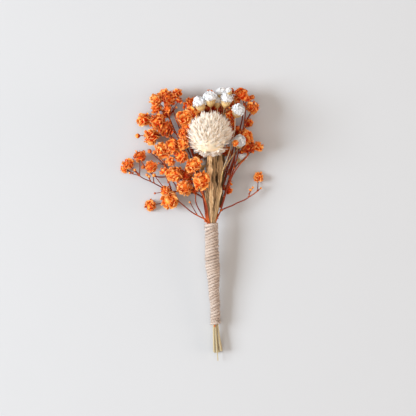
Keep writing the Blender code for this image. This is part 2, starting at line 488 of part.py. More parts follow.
# Gypsophila sprays. A branch is a row of places with its half thickness at both ends. A bloom has the
# place on a branch where its stalk springs, its own place and radius, and how far it is turned up.
SPRAYS = {
    "gypsophila_left": {
        "slot": 210, "laid": True,
        "way": ((7.5, 2.6, 7.2), (6.8, 8, 7.1), (6.2, 14.2, 6.9)),
        "branches": (
            ((6.4, 12.8, 6.95), (3.6, 15.2, 6.8), (-3.0, 16.0, 6.4), (-11.0, 17.2, 5.2), (-19.0, 21.0, 4.2),
             (-26.4, 24.8, 3.6), (-30.2, 27.4, 3.0)),
            ((7.45, 3.2, 7.2), (3.4, 5.4, 7.0), (-0.5, 8.0, 6.6), (-7.8, 12.8, 5.4)),
            ((-10.4, 17.2, 5.3), (-12.4, 24.0, 6.4), (-13.6, 31.5, 7.0)),
            ((2.0, 15.5, 6.8), (-1.6, 20.0, 7.6), (-5.2, 22.6, 8.2)),
        ),
        "blooms": (
            ((-30.2, 27.4, 3.0), (-32.6, 30.8, 3.2), 2.4, 0.5), ((-30.2, 27.4, 3.0), (-34.4, 28.2, 1.2), 1.8, 0.9),
            ((-26.4, 24.8, 3.6), (-26.2, 34.8, 4.6), 2.5, 0.6), ((-26.4, 24.8, 3.6), (-28.0, 28.4, 5.0), 0.8, 0.6),
            ((-26.4, 24.8, 3.6), (-31.4, 24.9, 3.0), 0.6, 0.3), ((-19.0, 21.0, 4.2), (-20.5, 29.2, 5.4), 2.5, 0.7),
            ((-19.0, 21.0, 4.2), (-18.9, 25.0, 5.6), 1.0, 0.7), ((-19.0, 21.0, 4.2), (-22.6, 25.0, 5.0), 0.8, 0.7),
            ((-11.7, 21.0, 5.9), (-13.9, 27.3, 7.0), 1.7, 0.5), ((-13.6, 31.5, 7.0), (-14.3, 36.7, 7.6), 3.3, 0.9),
            ((-13.4, 30.0, 6.9), (-21.2, 37.0, 6.2), 1.1, 0.7), ((-13.2, 29.0, 6.8), (-18.6, 36.4, 6.4), 1.0, 0.7),
            ((-7.8, 12.8, 5.4), (-11.6, 12.9, 5.4), 3.6, 1.6), ((-10.0, 17.0, 5.4), (-13.6, 17.4, 7.2), 2.0, 1.0),
            ((-7.8, 12.8, 5.4), (-21.0, 9.6, 1.3), 2.2, 1.3), ((-11.0, 17.2, 5.2), (-18.6, 15.9, 4.2), 0.6, 0.3),
            ((-3.0, 16.0, 6.4), (-3.4, 18.6, 8.4), 3.0, 0.3), ((2.6, 15.3, 6.8), (1.6, 17.9, 8.2), 1.6, 0.5),
            ((-1.6, 20.0, 7.6), (-2.3, 24.9, 8.6), 2.8, 0.8), ((-5.2, 22.6, 8.2), (-8.4, 25.4, 9.6), 3.2, 1.1),
            ((2.6, 5.9, 6.95), (-1.2, 11.4, 8.0), 0.55, 0.3),
        ),
    },
    "gypsophila_upper_left": {
        "slot": 180, "laid": True,
        "way": ((7.2, 4, 8.45), (6.1, 12, 9.0), (3.2, 22, 9.4), (-1.5, 33, 9.4), (-7.0, 44, 8.8), (-10.5, 52, 8.2),
                (-12.6, 57.6, 7.8)),
        "branches": (
            ((-5.6, 41.5, 8.9), (-9.2, 43.2, 8.4), (-13.8, 45.4, 7.0)),
            ((-8.0, 46.2, 8.7), (-14.8, 50.0, 7.4), (-19.4, 51.4, 5.4)),
        ),
        "blooms": (
            ((-1.5, 33, 9.4), (-5.2, 34.6, 11.6), 2.5, 1.0), ((-4.0, 38, 9.1), (-4.2, 40.5, 12.6), 2.3, 1.2),
            ((-4.6, 39.4, 9.0), (-9.4, 39.3, 11.4), 2.9, 1.1), ((-4.2, 38.4, 9.1), (-10.6, 31.9, 10.2), 1.9, 0.2),
            ((-9.2, 43.2, 8.4), (-12.9, 47.6, 9.4), 2.9, 1.0), ((-13.8, 45.4, 7.0), (-20.0, 44.0, 5.4), 3.0, 0.3),
            ((-13.8, 45.4, 7.0), (-27.2, 44.9, 4.0), 1.2, 0.3), ((-14.8, 50.0, 7.4), (-16.8, 51.7, 8.6), 3.0, 1.3),
            ((-19.4, 51.4, 5.4), (-24.2, 53.0, 3.0), 2.8, 0.7), ((-12.6, 57.6, 7.8), (-17.2, 62.2, 7.6), 2.6, 0.7),
            ((-12.6, 57.6, 7.8), (-13.5, 66.3, 7.4), 2.2, 0.4), ((-12.6, 57.6, 7.8), (-11.6, 63.4, 9.4), 2.6, 1.3),
            ((-12.2, 56.8, 7.9), (-8.6, 64.9, 8.4), 2.3, 0.7), ((-12.0, 56.0, 7.9), (-7.0, 66.9, 8.8), 1.9, 0.1),
            ((-11.4, 54.6, 8.0), (-6.3, 62.2, 10.2), 1.6, 0.1), ((-12.0, 56.0, 7.9), (-17.6, 58.3, 6.6), 2.3, 0.6),
            ((-12.6, 57.6, 7.8), (-12.2, 58.4, 9.8), 1.8, 1.2), ((-11.4, 54.6, 8.0), (-7.6, 59.0, 8.4), 0.6, 0.5),
            ((-10.5, 52, 8.2), (-13.0, 56.6, 1.7), 2.5, 0.3),
        ),
    },
    "gypsophila_upper_middle": {
        "slot": 150, "laid": False,
        "way": ((7.6, 4, 9.95), (6.7, 12, 10.4), (4.6, 22, 10.2), (1.2, 33, 10.4), (-1.7, 42, 9.6), (-2.6, 47.5, 9.0)),
        "branches": (
            ((-2.6, 47.0, 9.0), (-2.2, 52.4, 8.6), (-1.2, 57.0, 8.0)),
        ),
        "blooms": (
            ((-2.4, 46.6, 9.1), (-3.0, 48.9, 10.6), 1.8, 0.6), ((-2.5, 49.0, 8.9), (-3.6, 52.9, 10.0), 3.2, 0.8),
            ((-2.2, 52.4, 8.6), (0.2, 56.3, 8.0), 2.7, 0.6), ((-1.2, 57.0, 8.0), (-1.9, 61.0, 8.4), 2.5, 0.6),
        ),
    },
    "gypsophila_front": {
        "slot": 120, "laid": False,
        "way": ((8.3, 4, 10.9), (6.9, 12, 11.9), (4.8, 17.0, 12.6)),
        "branches": (
            ((4.8, 17.0, 12.6), (2.8, 22.0, 12.6), (1.4, 26.6, 12.8)),
        ),
        "blooms": (
            ((4.8, 17.0, 12.6), (4.8, 22.1, 14.8), 3.5, 1.3), ((1.4, 26.6, 12.8), (0.8, 29.7, 14.4), 3.1, 0.9),
            ((5.6, 15.2, 12.4), (2.6, 18.0, 13.8), 0.7, 0.6),
        ),
    },
    "gypsophila_right": {
        "slot": 0, "laid": True,
        "way": ((13.0, 4, 8.3), (14.7, 7.5, 8.3)),
        "branches": (
            ((14.7, 7.4, 8.3), (22.0, 11.2, 6.8), (28.6, 14.25, 4.8), (33.5, 17.0, 3.2)),
            ((14.5, 7.0, 8.3), (16.2, 17.5, 8.9), (18.6, 23.5, 9.1), (24.2, 32.5, 9.2), (28.0, 35.6, 8.0)),
            ((19.6, 25.2, 9.1), (23.4, 36.0, 8.6), (24.4, 42.0, 8.2), (25.8, 47.4, 8.4), (27.4, 52.6, 8.8)),
            ((25.6, 46.8, 8.4), (26.4, 54.0, 9.2), (26.6, 60.0, 9.6)),
            ((24.4, 42.0, 8.2), (22.2, 46.5, 7.0), (20.4, 49.8, 7.2)),
        ),
        "blooms": (
            ((33.5, 17.0, 3.2), (34.0, 24.3, 1.3), 2.2, 1.3), ((28.6, 14.25, 4.8), (29.7, 18.0, 5.8), 0.8, 0.7),
            ((31.0, 15.6, 4.0), (31.2, 19.2, 5.0), 0.7, 0.7), ((33.5, 17.0, 3.2), (35.4, 18.6, 3.6), 0.6, 0.2),
            ((16.2, 17.5, 8.9), (19.2, 18.6, 5.6), 2.4, 0.1), ((28.0, 35.6, 8.0), (28.6, 38.8, 7.6), 2.8, 0.2),
            ((28.0, 35.6, 8.0), (34.0, 39.5, 6.4), 2.1, 0.7), ((28.0, 35.6, 8.0), (30.4, 42.4, 7.2), 0.9, 0.5),
            ((24.4, 42.0, 8.2), (27.2, 45.0, 8.0), 3.2, 0.8), ((22.4, 46.0, 7.0), (22.8, 47.8, 5.2), 2.0, 0.2),
            ((20.4, 49.8, 7.2), (19.8, 51.3, 8.2), 1.8, 0.6), ((20.4, 49.8, 7.2), (19.6, 55.5, 8.4), 2.5, 0.4),
            ((27.4, 52.6, 8.8), (30.6, 58.7, 9.4), 2.7, 0.7), ((26.6, 60.0, 9.6), (24.9, 64.9, 10.2), 2.9, 0.9),
            ((26.6, 60.0, 9.6), (28.0, 63.0, 10.6), 1.8, 0.7), ((26.5, 57.0, 9.4), (30.4, 64.0, 9.0), 1.2, 0.5),
            ((21.4, 28.2, 9.15), (21.9, 40.4, 18.6), 1.4, 0.8), ((25.6, 46.8, 8.4), (28.6, 51.6, 1.7), 2.5, 0.3),
        ),
    },
    "gypsophila_back": {
        "slot": 270, "laid": True,
        "way": ((10.1, 8, 5.2), (10.4, 16, 4.0), (10.2, 30, 2.9), (9.8, 45, 2.6), (9.9, 54, 3.4)),
        "branches": (
            ((9.8, 45, 2.6), (13.6, 52.5, 2.9), (18.0, 58.0, 3.6)),
            ((9.8, 46, 2.6), (5.4, 53.0, 2.9), (2.8, 58.4, 3.2)),
        ),
        "blooms": (
            ((10.4, 16, 4.0), (9.6, 23.5, 1.4), 2.2, 0.9), ((10.2, 26, 3.2), (3.6, 33.6, 1.3), 2.3, 1.3),
            ((10.2, 30, 2.9), (16.8, 37.4, 1.5), 2.4, 1.1), ((10.0, 36, 2.8), (2.4, 42.6, 1.6), 2.4, 0.9),
            ((9.8, 45, 2.6), (18.4, 47.6, 1.7), 2.4, 0.9), ((9.9, 54, 3.4), (9.4, 58.6, 4.6), 2.6, 0.6),
            ((9.9, 54, 3.4), (9.2, 65.4, 8.6), 2.2, 0.4), ((13.6, 52.5, 2.9), (14.0, 57.4, 4.6), 2.5, 0.5),
            ((18.0, 58.0, 3.6), (19.6, 66.8, 8.6), 2.2, 0.3), ((18.0, 58.0, 3.6), (21.8, 60.8, 4.4), 2.5, 0.5),
            ((5.4, 53.0, 2.9), (4.6, 57.6, 5.0), 2.6, 0.6), ((2.8, 58.4, 3.2), (1.0, 64.0, 3.2), 2.3, 0.3),
        ),
    },
}


def stalk(spring, centre, radius, facing):
    """A slender stalk that leaves its branch, bends and meets the base of its bloom."""
    base = centre - facing * 0.45 * radius
    length = np.linalg.norm(base - spring)
    bend = base - facing * 0.4 * length
    bend[2] = max(bend[2], LOWEST_STALK)
    shares = np.linspace(0, 1, 4 if length > 5 else 3)[:, None]
    path = (1 - shares) ** 2 * spring + 2 * shares * (1 - shares) * bend + shares ** 2 * base
    return tube(path, (0.28, 0.25), sides=3)


def swollen_node(place, random):
    """The small knuckle where branches part."""
    size = random.uniform(0.5, 0.6)
    rings = ((-size, 0, 0), (0.0, size, 0), (size, 0, 0))
    return turned(place, (random.uniform(-0.3, 0.3), 1.0, random.uniform(-0.3, 0.3)), rings, 4)


def gypsophila(name, spray, seed):
    """One spray: its stem from the binding, its branches, their knuckles, and every bloom and bud on it."""
    random = np.random.default_rng(seed)
    inside = [in_binding(spray["slot"], OUTER_RING, y) for y in (THIN_STEM_END, -15.8, 1.2)]
    shells = [tube(inside + list(spray["way"]), (THIN_STEM, 0.26))]
    for branch in spray["branches"]:
        shells.append(tube(branch, (0.3, 0.24), sides=4))
        shells.append(swollen_node(np.array(branch[0]), random))
    for spring, centre, radius, turned_up in spray["blooms"]:
        spring, centre = np.array(spring, dtype=float), np.array(centre)
        facing = unit(unit(centre - spring) + turned_up * UP)
        shells.append(stalk(spring, centre, radius, facing))
        shells.append(ruffled_bloom(centre, radius, facing, random))
    fuse(name, shells, "orange_bloom", spray["laid"])


def clear_scene():
    """Start from an empty scene."""
    for thing in list(bpy.data.objects):
        bpy.data.objects.remove(thing)


def main():
    clear_scene()
    twine_binding()
    for stem in DRY_STEMS:
        dry_stem(*stem)
    globe_stem()
    globe_head()
    for stem in EVERLASTING_STEMS:
        everlasting_stem(*stem)
    for number, (centre, radius, facing) in EVERLASTINGS.items():
        random = np.random.default_rng(40 + number)
        head = turned(np.array(centre), facing, everlasting_rings(radius), 10, random=random, rough=0.06)
        link(add_mesh(f"everlasting_head_{number}", head), "white_bracts")
    for seed, (name, spray) in enumerate(SPRAYS.items()):
        gypsophila(name, spray, 70 + seed)


main()
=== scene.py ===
"""Looks of a small dried flower bouquet, tied with twine and lying on a pale table.

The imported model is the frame. Every petal, bract, stem and winding is a surface worked out with numpy in
millimetres. The lists of places follow those that the solids were made from. Most blooms and many branches
are moved by up to two millimetres and the white heads by less than one, and ten blooms and buds and
fifteen branches are added.
"""
import json
import math
from collections import namedtuple

import bpy
import numpy as np
from bpy.props import FloatProperty, FloatVectorProperty, IntProperty, PointerProperty
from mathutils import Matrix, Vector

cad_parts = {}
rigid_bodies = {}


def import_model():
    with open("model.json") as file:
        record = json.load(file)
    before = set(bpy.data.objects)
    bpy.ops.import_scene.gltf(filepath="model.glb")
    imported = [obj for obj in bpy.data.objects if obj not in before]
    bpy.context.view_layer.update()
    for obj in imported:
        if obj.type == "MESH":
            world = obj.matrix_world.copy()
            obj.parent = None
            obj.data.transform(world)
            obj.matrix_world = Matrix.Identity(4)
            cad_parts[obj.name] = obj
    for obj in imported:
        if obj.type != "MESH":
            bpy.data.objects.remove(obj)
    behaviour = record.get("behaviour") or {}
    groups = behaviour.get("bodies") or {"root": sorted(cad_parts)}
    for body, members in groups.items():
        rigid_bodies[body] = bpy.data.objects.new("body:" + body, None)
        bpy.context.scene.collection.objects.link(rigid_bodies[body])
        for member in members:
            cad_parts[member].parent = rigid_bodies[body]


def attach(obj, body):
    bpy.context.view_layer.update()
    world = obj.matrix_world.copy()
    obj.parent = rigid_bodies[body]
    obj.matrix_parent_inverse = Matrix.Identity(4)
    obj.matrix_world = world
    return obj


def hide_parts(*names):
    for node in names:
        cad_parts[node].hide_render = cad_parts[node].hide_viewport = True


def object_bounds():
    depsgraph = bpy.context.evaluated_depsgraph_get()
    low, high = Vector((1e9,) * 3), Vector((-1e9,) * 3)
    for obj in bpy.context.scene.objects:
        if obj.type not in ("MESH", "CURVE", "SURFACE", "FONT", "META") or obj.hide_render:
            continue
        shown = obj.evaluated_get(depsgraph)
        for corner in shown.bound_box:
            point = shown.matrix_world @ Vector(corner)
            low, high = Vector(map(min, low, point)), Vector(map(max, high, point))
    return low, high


bl_info = {
    "name": "Dried flower bouquet",
    "version": (1, 0, 0),
    "blender": (4, 5, 0),
    "location": "View3D > Sidebar > Bouquet",
    "description": "Builds the petals, bracts, stems and twine of a dried bouquet on its packed solids",
    "category": "Object",
}

for leftover in list(bpy.data.objects):
    bpy.data.objects.remove(leftover)
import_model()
cad_low, cad_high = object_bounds()

MM = 0.001
UP = np.array((0.0, 0.0, 1.0))
NORTH = np.array((0.0, 1.0, 0.0))
GOLDEN_ANGLE = math.pi * (3.0 - math.sqrt(5.0))

# Each kind of piece draws its random numbers from seeds of its own.
TWINE_SEED, STEM_SEED, GLOBE_SEED, HEAD_SEED, STALK_SEED, SPRAY_SEED = 5, 300, 11, 40, 60, 70

# Outlines of blades. Each row gives a share of the length, and a share of the width there.
FIBRE_OUTLINE = ((0.0, 1.0), (0.5, 0.9), (1.0, 0.3))
HAIR_OUTLINE = ((0.0, 1.0), (0.5, 0.7), (1.0, 0.1))
BRACT_OUTLINE = ((0.0, 0.8), (0.25, 1.0), (0.5, 0.9), (0.7, 0.6), (0.86, 0.3), (1.0, 0.03))
BRISTLE_OUTLINE = ((0.0, 1.0), (0.4, 1.0), (0.7, 0.7), (0.9, 0.4), (1.0, 0.05))
RIM_OUTLINE = ((0.0, 0.6), (0.4, 1.0), (0.75, 0.9), (0.92, 0.6), (1.0, 0.2))
WHITE_OUTLINE = ((0.0, 0.45), (0.35, 0.85), (0.65, 1.0), (0.86, 0.8), (1.0, 0.3))
CUP_SCALE_OUTLINE = ((0.0, 0.7), (0.45, 1.0), (0.8, 0.7), (1.0, 0.1))
KNUCKLE_SCALE_OUTLINE = ((0.0, 0.8), (0.4, 1.0), (0.8, 0.5), (1.0, 0.1))
PETAL_OUTLINE = ((0.0, 0.4), (0.3, 0.8), (0.6, 1.0), (0.86, 0.9), (1.0, 0.5))
BUD_OUTLINE = ((0.0, 0.4), (0.3, 0.9), (0.6, 1.0), (0.85, 0.6), (1.0, 0.2))

# Profiles of turned bodies. Each row gives a height and a radius, as shares of the body's size.
WHITE_PROFILE = ((-0.43, 0.4), (-0.3, 0.7), (0.1, 0.84), (0.5, 0.66), (0.8, 0.2))
CUP_PROFILE = ((-1.6, 0.07), (-1.5, 0.2), (-1.2, 0.5), (-0.85, 0.72), (-0.45, 0.82), (-0.2, 0.82),
               (-0.1, 0.5))
CALYX_PROFILE = ((-1.1, 0.35), (-0.6, 0.75), (0.0, 1.0), (0.7, 0.95), (0.9, 0.5))
BLOOM_PROFILE = ((-0.65, 0.2), (-0.42, 0.6), (0.05, 0.76), (0.42, 0.58), (0.56, 0.2))
BUD_PROFILE = ((-0.9, 0.2), (-0.5, 0.68), (0.0, 0.84), (0.5, 0.68), (0.84, 0.2))

# Twine binding. Each row gives y, the centre's x and the outer radius.
BINDING_OUTLINE = np.array((
    (-50.3, 12.1, 2.45), (-40.2, 11.75, 2.45), (-34.0, 11.25, 2.6), (-28.0, 11.1, 2.93),
    (-21.5, 10.65, 3.5), (-15.8, 10.25, 3.66), (-11.4, 10.15, 3.4), (1.2, 9.9, 3.33),
))
BINDING_TOP, BINDING_BOTTOM = 1.2, -50.3
BINDING_TOP_HEIGHT, BINDING_BOTTOM_HEIGHT = 8.3, 3.4

# The loose turn, where painted shade darkens the twine: its place along the binding and across it.
LOOSE_TURN, LOOSE_X = -17.2, 10.6

# Stems are packed in the binding as one in the middle, six round it and thin ones outside those.
INNER_RING, OUTER_RING = 1.15, 2.05
THIN_STEM_STATIONS = (-21.5, -15.8, 1.2)
STUB_STATIONS = (-52.0, -40.2, -28.0, -21.5, -15.8, 1.2)
STUB_CENTRE_X, STUB_CENTRE_Z = 13.2, 2.42
STUB_RING, STUB_TWIST = 2.0, 0.23
LOWEST_STALK = 0.5

# The cut end of an orange stem, which shows under the last turn of the twine, and the end of the twine.
ORANGE_STUB = ((11.7, -47.8, 5.2), (11.6, -49.6, 5.3), (11.5, -51.4, 5.0))
TWINE_END = ((10.2, -48.4, 4.9), (11.0, -48.1, 5.7), (12.3, -48.6, 6.1), (13.6, -49.7, 5.3))

# Globe head: its centre, the tilt of its axis above +Y, the shares of the reach that its body fills and where
# the bracts spring, the place that they point away from, their reach across and along the axis, and the top.
GLOBE_CENTRE = np.array((9.0, 44.8, 17.6))
GLOBE_TILT = math.radians(19)
GLOBE_BODY, GLOBE_ROOT = 0.79, 0.64
GLOBE_FOCUS = np.array((-0.04, 0.6, -0.72))
GLOBE_REACH = (11.3, 11.8)
GLOBE_TOP = 28.6

# Each dry stem: its place in the binding, its way from there to the flowers, its half width, its cut end, and
# its tint from dark grey brown to golden. The three stems that lie lowest, under the others, have the
# darkest tints, as painted shade.
DRY_STEMS = {
    "dry_stem_1": (150, INNER_RING, ((8.5, 8, 9.2), (8.3, 15, 9.4), (8.8, 35.0, 10.2)), 1.0, -64.1, 0.42),
    "dry_stem_2": (0, 0.0, ((10.4, 8, 8.55), (10.9, 15, 8.9), (11.4, 36.0, 9.6)), 1.1, -68.7, 0.9),
    "dry_stem_3": (30, INNER_RING, ((12.2, 8, 9.2), (13.4, 15, 9.5), (14.3, 35.4, 10.3)), 0.95, -63.6, 0.55),
    "dry_stem_4": (210, INNER_RING, ((8.9, 8, 7.5), (9.2, 15, 7.4), (9.9, 36.4, 7.9)), 1.1, -64.8, 0.05),
    "dry_stem_5": (270, INNER_RING, ((10.9, 8, 6.9), (11.7, 15, 6.9), (12.9, 36.9, 7.6)), 1.1, -64.6, 0.12),
    "dry_stem_6": (330, INNER_RING, ((12.6, 8, 7.6), (14.0, 15, 7.6), (15.4, 35.2, 8.3)), 1.1, -63.9, 0.0),
    "globe_stem": (90, INNER_RING, ((9.75, 8, 10.5), (9.6, 15, 11.6), (9.1, 28.1, 12.8), (9.0, 36.2, 14.6)),
                   0.9, -64.4, 0.95),
}

# The stems that lie on top, by their place in the binding, and how far along them their dry node is.
TOP_STEMS, TOP_STEM_NODE = (0, 90), 0.62

# Everlasting heads: place of the white head, radius and the way it faces.
EVERLASTINGS = {
    1: ((4.0, 60.8, 13.6), 3.15, (-0.3, 1.0, 0.45)),
    2: ((9.1, 63.2, 14.2), 3.25, (-0.1, 1.0, 0.5)),
    3: ((12.9, 61.9, 10.2), 2.4, (0.0, 1.0, 0.3)),
    4: ((17.5, 62.6, 13.2), 3.05, (0.25, 1.0, 0.45)),
    5: ((14.8, 66.1, 10.9), 2.4, (0.05, 1.0, 0.5)),
    6: ((18.5, 66.6, 15.9), 1.5, (-0.45, 0.8, 0.45)),
    7: ((23.2, 57.0, 14.6), 3.2, (0.25, 0.65, 0.75)),
    8: ((23.7, 41.5, 13.6), 3.15, (0.1, 0.55, 0.85)),
    9: ((25.3, 34.3, 4.6), 2.5, (0.45, 0.75, 0.5)),
    10: ((5.3, 30.8, 7.6), 2.15, (0.05, 1.0, 0.3)),
}

# Everlasting stems: place in the binding, main way, tone, and for each head the way from the main stem.
EVERLASTING_STEMS = {
    "everlasting_stem_1": (240, ((7.7, 8, 6.0), (6.3, 24, 5.2), (5.7, 44, 4.7), (5.9, 52.5, 7.2)), 0.3, {
        1: (), 2: ((5.9, 52.0, 7.0), (8.2, 55.6, 9.2)), 10: ((6.5, 21.0, 5.3), (5.6, 24.0, 5.8))}),
    "everlasting_stem_2": (300, ((12.2, 8, 6.0), (13.3, 24, 5.2), (13.8, 44, 4.7), (14.1, 52.5, 7.2)), 0.4, {
        3: (), 4: ((14.1, 52.2, 7.1), (16.0, 55.6, 9.4)), 5: ((14.1, 52.3, 7.1), (15.2, 58.0, 7.0)),
        6: ((16.3, 56.0, 9.6), (21.6, 60.6, 11.6)), 9: ((13.3, 24.0, 5.2), (19.2, 28.2, 4.5))}),
    "everlasting_stem_3": (30, ((13.0, 8, 10.5), (13.7, 18, 11.2), (15.6, 27, 10.8), (19.0, 37, 9.4),
                                (21.6, 48, 10.0)), 1.0, {
        7: (), 8: ((15.6, 27.0, 10.8), (20.0, 34.0, 10.4))}),
}

